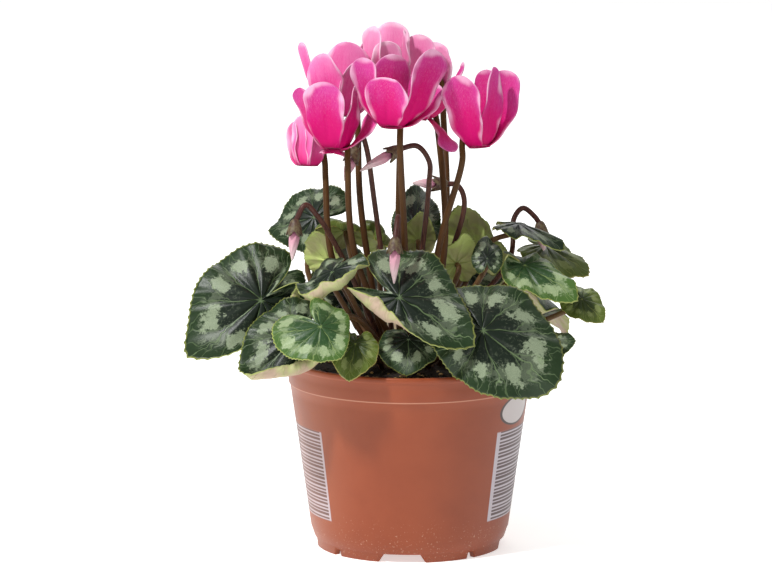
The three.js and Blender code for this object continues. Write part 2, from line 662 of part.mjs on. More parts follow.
const BLOOMS = {
  left_half_open: {
    mouth: vec(-49.5, -8, 186.5), axis: vec(0.03, 0.2, 1), crown: [192, 10.5], pass: 5,
    stalk: [vec(-37, -18, 142)],
    petals: [
      { from: -115, tip: vec(-50, -15, 213), width: 12.5, belly: 1.5 },
      { from: -50, tip: vec(-46, -12, 209), width: 12, belly: 1 },
      { from: 195, tip: vec(-54, -8, 211), width: 12, belly: 0.5 },
      { from: 60, tip: vec(-47, -1, 207.5), width: 13, belly: 2 },
      { from: 125, tip: vec(-53, -1, 208.5), width: 13, belly: 2 },
    ],
  },
  front_left: {
    mouth: vec(-36.5, -34, 198), axis: vec(0.05, 0.3, 1), crown: [252, 10.5], pass: 40,
    stalk: [vec(-27, -28, 149.5)],
    petals: [
      { from: -110, tip: vec(-40, -47, 233), width: 22, cup: 0.2, columns: 3 },
      { from: -48, tip: vec(-26.5, -39, 230), width: 15, twist: 45 },
      { from: -5, tip: vec(-16.5, -33, 219), width: 14, twist: 50 },
      { from: 160, tip: vec(-52, -34, 228.5), width: 15, twist: 60 },
      { from: 95, tip: vec(-34.5, -13, 195.5), width: 15, twist: 10 },
    ],
  },
  back_left: {
    mouth: vec(-33.5, 6, 208.5), axis: vec(0, 0.1, 1), crown: [160, 10.5], pass: -22,
    stalk: [vec(-24, -1, 168.5)],
    petals: [
      { from: -120, tip: vec(-41, -4, 241), width: 22, twist: -20 },
      { from: -66, tip: vec(-23, -6, 238), width: 20, twist: 10 },
      { from: 22, tip: vec(-22, 7, 230), width: 15, twist: 20 },
      { from: 80, tip: vec(-30, 17, 244), width: 22 },
      { from: 157, tip: vec(-52.5, 12, 244.5), width: 9, twist: 70 },
    ],
  },
  back_centre: {
    mouth: vec(-12, 22, 219), axis: vec(0, 0.05, 1), crown: [100, 10.5], pass: -34,
    stalk: [vec(-5.5, 13, 159.5)],
    petals: [
      { from: -140, tip: vec(-16.5, 13, 252), width: 18 },
      { from: -80, tip: vec(-11.5, 8, 245.5), width: 15 },
      { from: 16, tip: vec(-3, 19, 249), width: 17 },
      { from: 78, tip: vec(-8.5, 32, 252), width: 19 },
      { from: 150, tip: vec(-18.5, 30, 243.5), width: 17 },
    ],
  },
  back_right: {
    mouth: vec(8.5, 40, 212.5), axis: vec(0.05, 0, 1), crown: [45, 10.5], pass: -25,
    stalk: [vec(17.5, 18, 159)],
    petals: [
      { from: -100, tip: vec(4, 31, 246), width: 18 },
      { from: 25, tip: vec(15, 37, 239), width: 13, twist: 20 },
      { from: 75, tip: vec(12.5, 49, 240), width: 16 },
      { from: 130, tip: vec(4, 50, 242), width: 16 },
      { from: 195, tip: vec(0, 47, 238), width: 12 },
    ],
  },
  front_centre: {
    mouth: vec(-9, -46, 210.5), axis: vec(0.05, 0.3, 1), crown: [282, 10.5], pass: 62,
    stalk: [vec(-3, -31, 160.5)],
    petals: [
      { from: -110, tip: vec(-8.5, -59, 236), width: 22, cup: 0.3, belly: 6, columns: 3 },
      { from: -25, tip: vec(10.5, -50, 249), width: 24 },
      { from: 180, tip: vec(-22, -50, 245), width: 17, twist: 60 },
      { from: 115, tip: vec(-7, -31, 244), width: 19 },
      { from: 20, tip: vec(12.5, -37, 231), width: 14, twist: 50 },
    ],
  },
  right_behind: {
    mouth: vec(5.5, -6, 208.5), axis: vec(-0.1, 0.2, 1), crown: [340, 10.5], pass: 34,
    stalk: [vec(16.8, -12.5, 151)],
    petals: [
      { from: -110, tip: vec(5, -17, 232), width: 20 },
      { from: -50, tip: vec(25.5, -13, 238), width: 14, twist: 55 },
      { from: -8, tip: vec(20.5, -12, 194.5), width: 15, twist: 30 },
      { from: 115, tip: vec(7, 11, 228.5), width: 16 },
      { from: 190, tip: vec(-3.5, -2, 228), width: 15 },
    ],
  },
  right: {
    mouth: vec(33, -32, 199), axis: vec(-0.08, 0.25, 1), crown: [312, 10.5], pass: 165,
    stalk: [vec(15, -22, 155.5)],
    petals: [
      { from: -130, tip: vec(25.5, -50, 236), width: 24, cup: 0.25, columns: 3 },
      { from: -65, tip: vec(39, -47, 240), width: 16, twist: 50 },
      { from: 4, tip: vec(45.5, -35, 237), width: 18, twist: 62 },
      { from: 65, tip: vec(36, -17, 235), width: 17 },
      { from: 115, tip: vec(25, -18, 229), width: 14 },
    ],
  },
};

for (const [name, bloom] of Object.entries(BLOOMS)) {
  addBloom(`flower_${name}`, bloom);
}

// The buds: the stalk's way up, its end at the neck, and the tip of the closed petals
const BUDS = {
  upper_left: {
    crown: [160, 4.8], stalk: [vec(-17, -6, 168), vec(-21, -9, 196), vec(-23, -10, 201.5)],
    neck: vec(-26.5, -12, 195.5), tip: vec(-31.5, -16, 181),
  },
  lower_left: {
    crown: [222, 10.5], stalk: [vec(-34.5, -24, 149), vec(-44, -31, 166), vec(-50, -34, 172.3)],
    neck: vec(-54.8, -36, 164.4), tip: vec(-56.3, -38, 146),
  },
  front: {
    crown: [245, 4.8], stalk: [vec(-5.9, -27, 148), vec(-5.9, -37, 158), vec(-5.9, -45, 168.3)],
    neck: vec(-7.3, -54, 158.7), tip: vec(-7.8, -56, 137.9),
  },
  upper_centre: {
    crown: [310, 4.8], stalk: [vec(9, -14, 179), vec(9, -18, 191), vec(3.2, -20, 198.6)],
    neck: vec(-5.4, -22, 197.4), tip: vec(-24, -28, 187.7),
  },
  right: {
    crown: [15, 4.8], stalk: [vec(26.4, 6, 167), vec(22.8, 6, 175.7)],
    neck: vec(17, 6, 176.2), tip: vec(1, 4, 177),
  },
  far_right: {
    crown: [18, 10.5],
    stalk: [vec(48, 7, 138), vec(51, 18, 158), vec(55.2, 20, 162.2), vec(60.6, 20, 158.3)],
    neck: vec(63.5, 20, 154.3), tip: vec(65.5, 20, 141),
  },
};

for (const [name, bud] of Object.entries(BUDS)) {
  addBud(`bud_${name}`, bud);
}

// A solid of revolution about Z from a closed profile of radii and heights
function turned(profile, sides) {
  const lathe = new THREE.LatheGeometry(profile.map(([r, z]) => new THREE.Vector2(r, z)), sides);
  lathe.rotateX(Math.PI / 2);
  return solidOf(lathe);
}

const TUBER_SIDES = 10;
const TUBER_LATITUDES = [-40, 0, 42];

// The tuber: a flattened ball, grown by a clearance where the soil lies round it
function tuberSolid(clear) {
  const middle = CROWN.top - CROWN.depth / 2;
  const radius = CROWN.radius + clear;
  const height = CROWN.depth / 2 + clear;
  const rings = TUBER_LATITUDES.map((degrees) => {
    const turn = degrees * RADIANS;
    return [radius * Math.cos(turn), middle + height * Math.sin(turn)];
  });
  const profile = [[0, middle - height], ...rings, [0, middle + height]];
  return turned(profile, TUBER_SIDES).translate([CROWN.x, CROWN.y, 0]);
}

// The tuber has a plain hole for each stem
let tuber = tuberSolid(0);
for (const hole of holes) {
  tuber = tuber.subtract(hole);
}
addPiece("tuber", tuber, "tuber");

// The pot: outside from the middle of the foot upwards, over the rim, and down inside to the floor
const FOOT_INNER_RADIUS = 42.5;
const RIM_BEAD = { low: 90, inner: 57.6 };
const potProfile = [
  [0, 0],
  [PAD_RADIUS, 0],
  [PAD_RADIUS + 2, POT_FOOT_HEIGHT],
  [FOOT_INNER_RADIUS, POT_FOOT_HEIGHT],
  [FOOT_INNER_RADIUS, 0],
  [POT_FOOT_RADIUS, 0],
  [POT_FOOT_RADIUS + 0.3, POT_FOOT_HEIGHT],
  [POT_BODY_RADIUS_LOW, 10],
  [POT_BODY_RADIUS_HIGH, POT_BAND_Z],
  [POT_BODY_RADIUS_HIGH + 0.6, POT_BAND_Z + 0.4],
  [POT_RIM_RADIUS - 0.7, RIM_BEAD.low],
  [POT_RIM_RADIUS, RIM_BEAD.low + 0.6],
  [POT_RIM_RADIUS, POT_HEIGHT - 0.6],
  [POT_RIM_RADIUS - 0.6, POT_HEIGHT],
  [RIM_BEAD.inner + 0.4, POT_HEIGHT],
  [POT_BODY_RADIUS_HIGH - POT_WALL, POT_BAND_Z],
  [POT_BODY_RADIUS_LOW - POT_WALL, 10],
  [POT_BODY_RADIUS_LOW - POT_WALL - 1.6, POT_FLOOR_TOP],
  [0, POT_FLOOR_TOP],
];

const CUT_CLEAR = 1;

// A wedge-sided cutter that crosses the foot ring at an angle, wider at the bottom than at the top
function notchCutter(degrees, { width, topWidth, height }) {
  const shape = new THREE.Shape();
  shape.moveTo(-width / 2, -CUT_CLEAR);
  shape.lineTo(width / 2, -CUT_CLEAR);
  shape.lineTo(topWidth / 2, height);
  shape.lineTo(-topWidth / 2, height);
  const depth = POT_BODY_RADIUS_LOW - FOOT_INNER_RADIUS + 2 * CUT_CLEAR;
  const cutter = new THREE.ExtrudeGeometry(shape, { depth, bevelEnabled: false });
  cutter.rotateX(Math.PI / 2);
  cutter.translate(0, CUT_CLEAR * 2 - FOOT_INNER_RADIUS, 0);
  cutter.rotateZ(degrees * RADIANS);
  return solidOf(cutter);
}

let pot = turned(potProfile, POT_SIDES);
for (const notches of [WIDE_NOTCHES, NARROW_NOTCHES]) {
  for (let k = 0; k < notches.count; k += 1) {
    pot = pot.subtract(notchCutter(notches.first + (360 * k) / notches.count, notches));
  }
}
addPiece("pot", pot, "pot");

// The soil fills the pot to just under the rim, round the tuber
const SOIL_RADIUS_TOP = 57.2 - FIT;
const soilProfile = [
  [0, SOIL_BOTTOM],
  [POT_BODY_RADIUS_LOW - POT_WALL - 1.6 - FIT, SOIL_BOTTOM],
  [POT_BODY_RADIUS_LOW - POT_WALL - FIT, 10],
  [POT_BODY_RADIUS_HIGH - POT_WALL - FIT, POT_BAND_Z],
  [SOIL_RADIUS_TOP, SOIL_TOP],
  [0, SOIL_TOP],
];
addPiece("soil", turned(soilProfile, POT_SIDES).subtract(tuberSolid(FIT)), "soil");

export default plant;
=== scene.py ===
"""The look of a potted cyclamen in flower. Forms are worked out in millimetres and stored in metres."""

import math
import random

import bpy
import numpy as np
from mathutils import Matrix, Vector


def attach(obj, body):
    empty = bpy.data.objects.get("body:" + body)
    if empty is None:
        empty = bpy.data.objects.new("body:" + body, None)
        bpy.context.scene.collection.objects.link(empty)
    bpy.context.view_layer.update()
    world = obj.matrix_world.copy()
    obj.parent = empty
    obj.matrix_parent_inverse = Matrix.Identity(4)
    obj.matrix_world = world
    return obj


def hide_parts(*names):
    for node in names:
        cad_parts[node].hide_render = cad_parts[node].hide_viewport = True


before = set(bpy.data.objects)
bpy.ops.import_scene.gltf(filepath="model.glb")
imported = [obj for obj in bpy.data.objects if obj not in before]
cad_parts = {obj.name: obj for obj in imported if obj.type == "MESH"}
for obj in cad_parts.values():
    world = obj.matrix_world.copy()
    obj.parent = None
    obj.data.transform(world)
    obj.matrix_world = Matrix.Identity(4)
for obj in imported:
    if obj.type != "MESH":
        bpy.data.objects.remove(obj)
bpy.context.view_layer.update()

MM = 0.001

# Pot
POT_HEIGHT = 93.0
POT_RIM_RADIUS = 60.0
POT_WALL = 1.1
POT_FOOT_RADIUS = 45.4
POT_FOOT_HEIGHT = 4.2
POT_FLOOR_TOP = 5.4
POT_FLOOR_INSET = 1.6
POT_BODY_Z = 10
POT_BODY_RADIUS_LOW = 48.2
POT_BODY_RADIUS_HIGH = 58.3
POT_BAND_Z = 80.5
POT_BAND_INNER_RADIUS = 57.2
FOOT_INNER_RADIUS = 42.5
PAD_RADIUS = 9.0
WIDE_NOTCHES = {"count": 4, "first": -95, "width": 22.8, "top": 17.4, "height": 4.2}
NARROW_NOTCHES = {"count": 4, "first": -140, "width": 4.4, "top": 4.0, "height": 3.0}

# Soil and tuber
SOIL_TOP = 88.5
SOIL_BOTTOM = 5.8
SOIL_FIT = 0.35
CROWN = {"x": -3.0, "y": 0.0, "top": 94.0, "radius": 29.0, "depth": 26.0}
CROWN_LEAN = 34.0

# Stems
ROOT_DEPTH = 5.0
PETIOLE_RADIUS = 1.35
STALK_RADIUS = 1.6
STALK_TAPER = 0.14
BUD_STALK_RADIUS = 1.3


# Vectors


def vec(x, y, z):
    return np.array([x, y, z], float)


def polar(radius, angle, z):
    return vec(radius * math.cos(angle), radius * math.sin(angle), z)


def unit(v):
    return v / np.linalg.norm(v)


def turned_about(v, axis, degrees):
    """v turned about a unit axis."""
    angle = math.radians(degrees)
    along = axis * np.dot(axis, v)
    return along + (v - along) * math.cos(angle) + np.cross(axis, v) * math.sin(angle)


def around(side, across, angle):
    """The direction at an angle in the plane of two unit vectors."""
    return side * math.cos(angle) + across * math.sin(angle)


def smooth(low, high, x):
    """0 below low, 1 above high, smooth between."""
    t = np.clip((x - low) / (high - low), 0, 1)
    return t * t * (3 - 2 * t)


# Meshes


class Mesh:
    """Vertices, faces with a material number each, and a pair of surface coordinates for each vertex."""

    def __init__(self):
        self.points = []
        self.faces = []
        self.kinds = []
        self.places = []

    def add(self, points, faces, kind=0, places=None):
        start = sum(len(p) for p in self.points)
        points = np.asarray(points, float)
        self.points.append(points)
        self.faces.extend([tuple(i + start for i in face) for face in faces])
        self.kinds.extend(kind if isinstance(kind, list) else [kind] * len(faces))
        self.places.append(np.zeros((len(points), 2)) if places is None else np.asarray(places, float))

    def build(self, name, materials):
        """Makes the object, in metres."""
        points = np.concatenate(self.points) * MM
        places = np.concatenate(self.places)
        mesh = bpy.data.meshes.new(name)
        mesh.from_pydata(points.tolist(), [], self.faces)
        for material in materials:
            mesh.materials.append(material)
        mesh.polygons.foreach_set("material_index", self.kinds)
        mesh.polygons.foreach_set("use_smooth", [True] * len(self.faces))
        corners = np.empty(len(mesh.loops), dtype=np.int32)
        mesh.loops.foreach_get("vertex_index", corners)
        mesh.uv_layers.new(name="UVMap").data.foreach_set("uv", places[corners].ravel())
        mesh.update()
        obj = bpy.data.objects.new(name, mesh)
        bpy.context.scene.collection.objects.link(obj)
        return obj


def stand_in(mesh, node, materials):
    """Makes the fine form of a solid of the frame."""
    obj = mesh.build(f"fine_{node}", materials)
    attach(obj, "root")
    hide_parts(node)


def band_faces(bands, turns):
    """Four-sided faces of the bands between closed rings of points."""
    faces = []
    for ring in range(0, bands * turns, turns):
        for k in range(turns):
            after = (k + 1) % turns
            faces.append((ring + k, ring + after, ring + after + turns, ring + k + turns))
    return faces


def closed_faces(bands, turns):
    """The faces of the bands and one face over each end."""
    last = bands * turns
    return band_faces(bands, turns) + [tuple(range(turns - 1, -1, -1)), tuple(range(last, last + turns))]


def vertex_normals(points, faces):
    """Unit normals of a patch of triangles and four-sided faces."""
    normals = np.zeros_like(points)
    for size in (3, 4):
        group = np.array([f for f in faces if len(f) == size])
        if not len(group):
            continue
        first = points[group[:, 1]] - points[group[:, 0]]
        last = points[group[:, -1]] - points[group[:, 0]]
        middle = points[group[:, 2]] - points[group[:, 0]]
        flat = np.cross(first, middle) + (np.cross(middle, last) if size == 4 else 0)
        for corner in range(size):
            np.add.at(normals, group[:, corner], flat)
    return normals / np.maximum(np.linalg.norm(normals, axis=1, keepdims=True), 1e-9)


def add_sheet(mesh, points, faces, rim, thickness, places, upper=0, lower=1):
    """A thin sheet with an upper and a lower face. rim lists the edge vertices in order."""
    normals = vertex_normals(points, faces)
    half = np.asarray(thickness, float).reshape(-1, 1) / 2
    count = len(points)
    both = np.concatenate([points + normals * half, points - normals * half])
    under = [tuple(i + count for i in reversed(face)) for face in faces]
    edge = [(a, a + count, b + count, b) for a, b in zip(rim, rim[1:] + rim[:1])]
    kinds = [upper] * len(faces) + [lower] * (len(under) + len(edge))
    mesh.add(both, faces + under + edge, kinds, np.concatenate([places, places]))


def add_tube(mesh, points, radii, sides, kind=0):
    """A closed round tube along points, with a radius for each."""
    points = np.asarray(points, float)
    count = len(points)
    angles = np.arange(sides) * 2 * math.pi / sides
    side = None
    rings = []
    for i in range(count):
        along = unit(points[min(i + 1, count - 1)] - points[max(i - 1, 0)])
        if side is None:
            side = vec(1, 0, 0) if abs(along[0]) < 0.9 else vec(0, 1, 0)
        side = unit(side - along * np.dot(side, along))
        across = np.cross(along, side)
        ring = np.outer(np.cos(angles), side) + np.outer(np.sin(angles), across)
        rings.append(points[i] + radii[i] * ring)
    lengths = np.repeat(np.linspace(0, 1, count), sides)
    turns = np.tile(np.arange(sides) / sides, count)
    mesh.add(np.concatenate(rings), closed_faces(count - 1, sides), kind, np.stack([turns, lengths], 1))


def lathe(mesh, profile, sides, kind=0, centre=(0.0, 0.0)):
    """A closed solid of revolution about Z. The profile starts and ends on the axis."""
    points = []
    faces = []
    rows = []
    for radius, z in profile:
        count = sides if radius else 1
        rows.append(range(len(points), len(points) + count))
        for k in range(count):
            angle = 2 * math.pi * k / sides
            points.append((centre[0] + radius * math.cos(angle), centre[1] + radius * math.sin(angle), z))
    for low, high in zip(rows, rows[1:]):
        for k in range(sides):
            a, b = low[k % len(low)], low[(k + 1) % len(low)]
            c, d = high[(k + 1) % len(high)], high[k % len(high)]
            faces.append(tuple(dict.fromkeys((a, b, c, d))))
    mesh.add(points, faces, kind)


# Stems through points


def spline(points, pieces):
    """A centripetal curve through the points, sampled evenly by its parameter."""
    last = len(points) - 1
    points = [2 * points[0] - points[1], *points, 2 * points[-1] - points[-2]]
    samples = []
    for i in range(pieces + 1):
        piece = min(int(last * i / pieces), last - 1)
        weight = last * i / pieces - piece
        p0, p1, p2, p3 = points[piece:piece + 4]
        d0, d1, d2 = (np.linalg.norm(b - a) ** 0.5 for a, b in ((p0, p1), (p1, p2), (p2, p3)))
        t1 = ((p1 - p0) / d0 - (p2 - p0) / (d0 + d1) + (p2 - p1) / d1) * d1
        t2 = ((p2 - p1) / d1 - (p3 - p1) / (d1 + d2) + (p3 - p2) / d2) * d1
        c2 = -3 * p1 + 3 * p2 - 2 * t1 - t2
        c3 = 2 * p1 - 2 * p2 + t1 + t2
        samples.append(p1 + t1 * weight + c2 * weight**2 + c3 * weight**3)
    return samples


def stem_points(crown, through, pieces):
    """Points along a stem, from its foot sunk in the tuber through the given places."""
    degrees, radius = crown
    angle = math.radians(degrees)
    lean = math.radians(CROWN_LEAN * radius / CROWN["radius"])
    direction = polar(math.sin(lean), angle, math.cos(lean))
    half = CROWN["depth"] / 2
    surface = CROWN["top"] - half + half * math.cos(math.asin(radius / CROWN["radius"]))
    foot = vec(CROWN["x"], CROWN["y"], 0) + polar(radius, angle, surface) - direction * ROOT_DEPTH
    return [foot] + spline([foot + direction * (ROOT_DEPTH + 3)] + through, pieces)


# Leaves

NIB_LENGTH = 0.07
NIB_TURN = 14
ROUND_FORM = (0.64, 0.215, 0.075)
POINTED_FORM = (0.58, 0.04, 0.38)
POINT_TURN = 26
SINUS_WIDTH = 12.0
SINUS_DEPTH = 0.8
CUP_SLOPE = -8.0
CURL_SLOPE = -14.0
WAVE_SLOPE = 9.0
WAVES = 5
SLOPE_STEPS = 8
VEIN_TURN = 40.0
PAD_RISE = 0.028
FRILL_RISE = 0.022
FRILL_WAVES = ((9, 1), (14, 0.6), (23, 0.4))
TEETH = 64
TOOTH_REACH = 0.03
TEETH_START = 0.93
BLADE_RINGS = 18
BLADE_TURNS = 192
SMALL_BLADE_TURNS = 144
BLADE_THICKNESS = 0.75
BLADE_THINNING = 0.35
PETIOLE_PIECES = 24
PETIOLE_SIDES = 10
PETIOLE_END = 0.8


def leaf_form(base, tip, crown, via=None, bends=(), **form):
    """Where a leaf's stalk meets its blade, where its tip lies and where its stalk springs.

    A bend lifts a part of the blade: the angle it lies at, the angle it spreads over, how far it turns
    up and the share of the way out at which it starts.
    """
    return {
        "base": vec(*base), "tip": vec(*tip), "crown": crown, "via": [vec(*via)] if via else [],
        "bends": bends, **form,
    }


def outline(leaf, degrees):
    """How far the heart-shaped blade reaches at an angle from its tip, as a share of its length."""
    turn = np.radians(degrees)
    nib = NIB_LENGTH * np.exp(-((degrees / NIB_TURN) ** 2))
    size, forward, oval = ROUND_FORM
    round_form = size + forward * np.cos(turn) + oval * np.cos(2 * turn) + nib
    size, forward, tip = POINTED_FORM
    pointed = size + forward * np.cos(turn) + tip * np.exp(-((np.abs(degrees) / POINT_TURN) ** 1.3))
    point = leaf.get("point", 0.75)
    lobes = leaf.get("lobe", 0) * (1 - np.cos(turn)) / 2
    behind = (180 - np.abs(degrees)) / leaf.get("sinus", SINUS_WIDTH)
    sinus = 1 - SINUS_DEPTH * np.exp(-(behind**2))
    skew = 1 + leaf.get("skew", 0) * np.sin(turn)
    return (round_form * (1 - point) + pointed * point + lobes) * sinus * skew


def slope(leaf, degrees, share):
    """How steeply the blade rises, in radians."""
    rise = CUP_SLOPE + CURL_SLOPE * share
    rise = rise + WAVE_SLOPE * np.sin(WAVES * np.radians(degrees)) * share
    for at, over, up, start in leaf["bends"]:
        turn = np.abs(((degrees - at + 540) % 360) - 180)
        out = np.clip((share - start) / (1 - start), 0, 1)
        rise = rise + up * np.exp(-((turn / over) ** 2)) * out
    return np.radians(rise)


def blade_axes(leaf):
    along = unit(leaf["tip"] - leaf["base"])
    up = unit(vec(0, 0, 1) - along * along[2])
    up = turned_about(up, along, leaf.get("twist", 0))
    return along, up, np.cross(up, along)


def relief(leaf, degrees, share, length):
    """Pads between the sunken veins, and a small frill at the margin."""
    near = np.abs(degrees / VEIN_TURN - np.round(degrees / VEIN_TURN))
    pads = PAD_RISE * length * smooth(0, 0.3, near) * np.sin(math.pi * np.clip(share, 0, 1)) ** 0.8
    turn = np.radians(degrees)
    frill = sum(
        size * np.sin(waves * turn + (number + 1) * leaf["seed"])
        for number, (waves, size) in enumerate(FRILL_WAVES)
    )
    return pads + FRILL_RISE * length * frill * share**3


def blade_grid(leaf, degrees, shares, teeth):
    """Points of the blade, one row for each share of the way out."""
    along, up, across = blade_axes(leaf)
    length = np.linalg.norm(leaf["tip"] - leaf["base"])
    forward = np.cos(np.radians(degrees))[None, :]
    sideways = (np.sin(np.radians(degrees)) * leaf.get("width", 1))[None, :]
    share = shares[:, None]
    reach = length * outline(leaf, degrees)[None, :] * (1 + teeth * smooth(TEETH_START, 1, share))
    level = np.zeros((len(shares), len(degrees)))
    height = np.zeros_like(level)
    for i in range(SLOPE_STEPS):
        angle = slope(leaf, degrees[None, :], share * (i + 0.5) / SLOPE_STEPS)
        level += np.cos(angle) * share * reach / SLOPE_STEPS
        height += np.sin(angle) * share * reach / SLOPE_STEPS
    height *= np.hypot(forward, sideways)
    height += relief(leaf, degrees[None, :], share, length)
    grid = leaf["base"] + (level * forward)[..., None] * along + (level * sideways)[..., None] * across
    return grid + height[..., None] * up


def add_leaf(name, leaf, look):
    """The toothed blade with its stalk."""
    turns = SMALL_BLADE_TURNS if leaf.get("small") else BLADE_TURNS
    degrees = -180 + 360 * np.arange(turns) / turns
    shares = (np.arange(1, BLADE_RINGS + 1) / BLADE_RINGS) ** 0.85
    teeth = TOOTH_REACH * (2 * np.abs(((degrees / 360 * TEETH) % 1) - 0.5) - 0.5)[None, :]
    grid = blade_grid(leaf, degrees, shares, teeth)
    points = np.concatenate([leaf["base"][None, :], grid.reshape(-1, 3)])
    faces = [(0, 1 + k, 1 + (k + 1) % turns) for k in range(turns)]
    last = 1 + (BLADE_RINGS - 1) * turns
    for ring in range(1, last, turns):
        for k in range(turns):
            after = (k + 1) % turns
            faces.append((ring + k, ring + turns + k, ring + turns + after, ring + after))
    share = np.concatenate([[0], np.repeat(shares, turns)])
    turn = np.concatenate([[0], np.tile(np.radians(degrees), BLADE_RINGS)])
    places = np.stack([0.5 + 0.5 * share * np.cos(turn), 0.5 + 0.5 * share * np.sin(turn)], 1)
    mesh = Mesh()
    rim = list(range(last, last + turns))
    add_sheet(mesh, points, faces, rim, BLADE_THICKNESS - BLADE_THINNING * share, places)
    along, up, _ = blade_axes(leaf)
    end = leaf["base"] - 0.1 * up
    neck = leaf["base"] - 4 * up - 0.8 * along
    path = stem_points(leaf["crown"], leaf["via"] + [neck, end], PETIOLE_PIECES)
    radii = [PETIOLE_RADIUS] * (len(path) - 2) + [PETIOLE_RADIUS * PETIOLE_END] * 2
    add_tube(mesh, path, radii, PETIOLE_SIDES, 2)
    stand_in(mesh, f"leaf_{name}", look["faces"] + [PETIOLE])


# Flowers

MOUTH_RADIUS = 5.8
LIP_INSIDE = 1.8
LIP_OUTSIDE = 1.2
LIP_DROP = 2
SHOULDER = 0.42
NARROW = 0.58
WIDEST = 0.74
PETAL_ROWS = 34
PETAL_COLUMNS = 16
PETAL_THICKNESS = 0.7
PETAL_THINNING = 0.3
RIPPLE = 0.1
UNEVEN = 0.04
CREASE = 0.05
CREASE_WIDTH = 0.12
HELD = (0.42, 0.1)
UNEVEN_FROM = (0.35, 0.6)
RIPPLE_FROM = (0.25, 0.6)
CUP_WALL = [
    (0, 5), (1.2, 4.9), (2.6, 4.2), (3.8, 2.8), (4.5, 1.6), (4.9, 0.8), (5.2, 0.7), (5.35, 1.3), (5.1, 2.2),
    (4.6, 3.6), (3.6, 5.2), (2.2, 6.1), (0, 6.2),
]
CUP_SIDES = 32
SEAT = 7.6
HOOK = [(9, -5), (8.4, 3), (6.4, 10.5), (2.6, 13.5)]
STALK_PIECES = 60
STALK_SIDES = 14
BOWL = [(0.0, 1), (0.35, 0.85), (0.75, 0.45), (1.0, 0.0)]
SEPALS = [(1.12, -1.0), (1.2, -2.4)]
CALYX_TURNS = 40
CALYX_THICKNESS = 0.5
CALYX_SIZE = (3.4, 2.4)


def bloom_form(mouth, axis, crown, passing, stalk, *petals):
    """A flower's mouth and axis, where its stalk springs, the side on which the stalk passes between its
    petals, a place on the stalk, and the petals."""
    axis = unit(vec(*axis))
    side = unit(vec(1, 0, 0) - axis * axis[0])
    return {
        "mouth": vec(*mouth), "axis": axis, "side": side, "across": np.cross(axis, side), "crown": crown,
        "pass": passing, "stalk": [vec(*stalk)], "petals": [petal_form(*petal) for petal in petals],
    }


def petal_form(turn, tip, width, twist=-12, cup=0.18, belly=3):
    """The side of the mouth from which a petal springs, its tip, its width and how it bends."""
    return {"from": turn, "tip": vec(*tip), "width": width, "twist": twist, "cup": cup, "belly": belly}


def petal_half_width(petal, share):
    narrow = MOUTH_RADIUS * NARROW
    wide = petal["width"] / 2
    if share < WIDEST:
        way = share / WIDEST
        return narrow + (wide - narrow) * way**1.4 * (1.23 - 0.23 * way**6)
    return wide * math.sqrt(max(1 - ((share - WIDEST) / (1 - WIDEST)) ** 2.4, 0.004))


def bezier(p0, p1, p2, p3, t):
    """A place on a curve and the curve's direction there."""
    s = 1 - t
    place = s**3 * p0 + 3 * s * s * t * p1 + 3 * s * t * t * p2 + t**3 * p3
    return place, unit(3 * s * s * (p1 - p0) + 6 * s * t * (p2 - p1) + 3 * t * t * (p3 - p2))


def add_petal(mesh, bloom, petal, seed):
    """One petal, twisted and cupped along its middle line, with a rippled margin."""
    mouth, axis, tip = bloom["mouth"], bloom["axis"], petal["tip"]
    outward = around(bloom["side"], bloom["across"], math.radians(petal["from"]))
    root = mouth + outward * (MOUTH_RADIUS - LIP_INSIDE) + axis * LIP_INSIDE
    turn = mouth + outward * (MOUTH_RADIUS + LIP_OUTSIDE) - axis * LIP_DROP
    shoulder = tip - SHOULDER * (tip - root) + outward * petal["belly"]
    sideways = np.cross(axis, outward)
    points = []
    places = []
    for row in range(PETAL_ROWS + 1):
        share = math.sin(row / PETAL_ROWS * math.pi / 2) ** 1.1
        middle, along = bezier(root, turn, shoulder, tip, share)
        across = unit(sideways - along * np.dot(sideways, along))
        across = turned_about(across, along, petal["twist"] * share**1.3)
        facing = np.cross(across, along)
        half = petal_half_width(petal, share)
        radius = max(np.dot(middle - mouth, outward), 3.0)
        hold = smooth(*HELD, share)
        for k in range(PETAL_COLUMNS + 1):
            side = 2 * k / PETAL_COLUMNS - 1
            right = side > 0
            wobble = math.sin(share * 19 + seed * 2.3 + (1.3 if right else 0))
            uneven = 1 + UNEVEN * wobble * smooth(*UNEVEN_FROM, share)
            angle = min(abs(half * side) / radius, 1.25)
            inward = radius * (1 - math.cos(angle)) * hold
            away = half * uneven * side * (1 - hold) + math.copysign(radius * math.sin(angle), side) * hold
            bowl = petal["cup"] * half * side * side
            cup = bowl * math.sin(share * math.pi * 0.8) * (1 - hold)
            ripple = math.sin(share * 15 + seed + (2.1 if right else 0)) * RIPPLE * half * abs(side) ** 3
            crease = CREASE * half * math.exp(-((side / CREASE_WIDTH) ** 2)) * math.sin(share * math.pi)
            lift = cup + ripple * smooth(*RIPPLE_FROM, share) - crease
            points.append(middle + across * away + facing * lift - outward * inward)
            places.append((k / PETAL_COLUMNS, share))
    stride = PETAL_COLUMNS + 1
    top = PETAL_ROWS * stride
    faces = [
        (a, a + 1, a + 1 + stride, a + stride)
        for start in range(0, top, stride) for a in range(start, start + PETAL_COLUMNS)
    ]
    rim = list(range(PETAL_COLUMNS)) + list(range(PETAL_COLUMNS, top, stride))
    rim += list(range(top + PETAL_COLUMNS, top, -1)) + list(range(top, 0, -stride))
    places = np.array(places)
    thickness = PETAL_THICKNESS - PETAL_THINNING * places[:, 1]
    add_sheet(mesh, np.array(points), faces, rim, thickness, places, 0, 0)


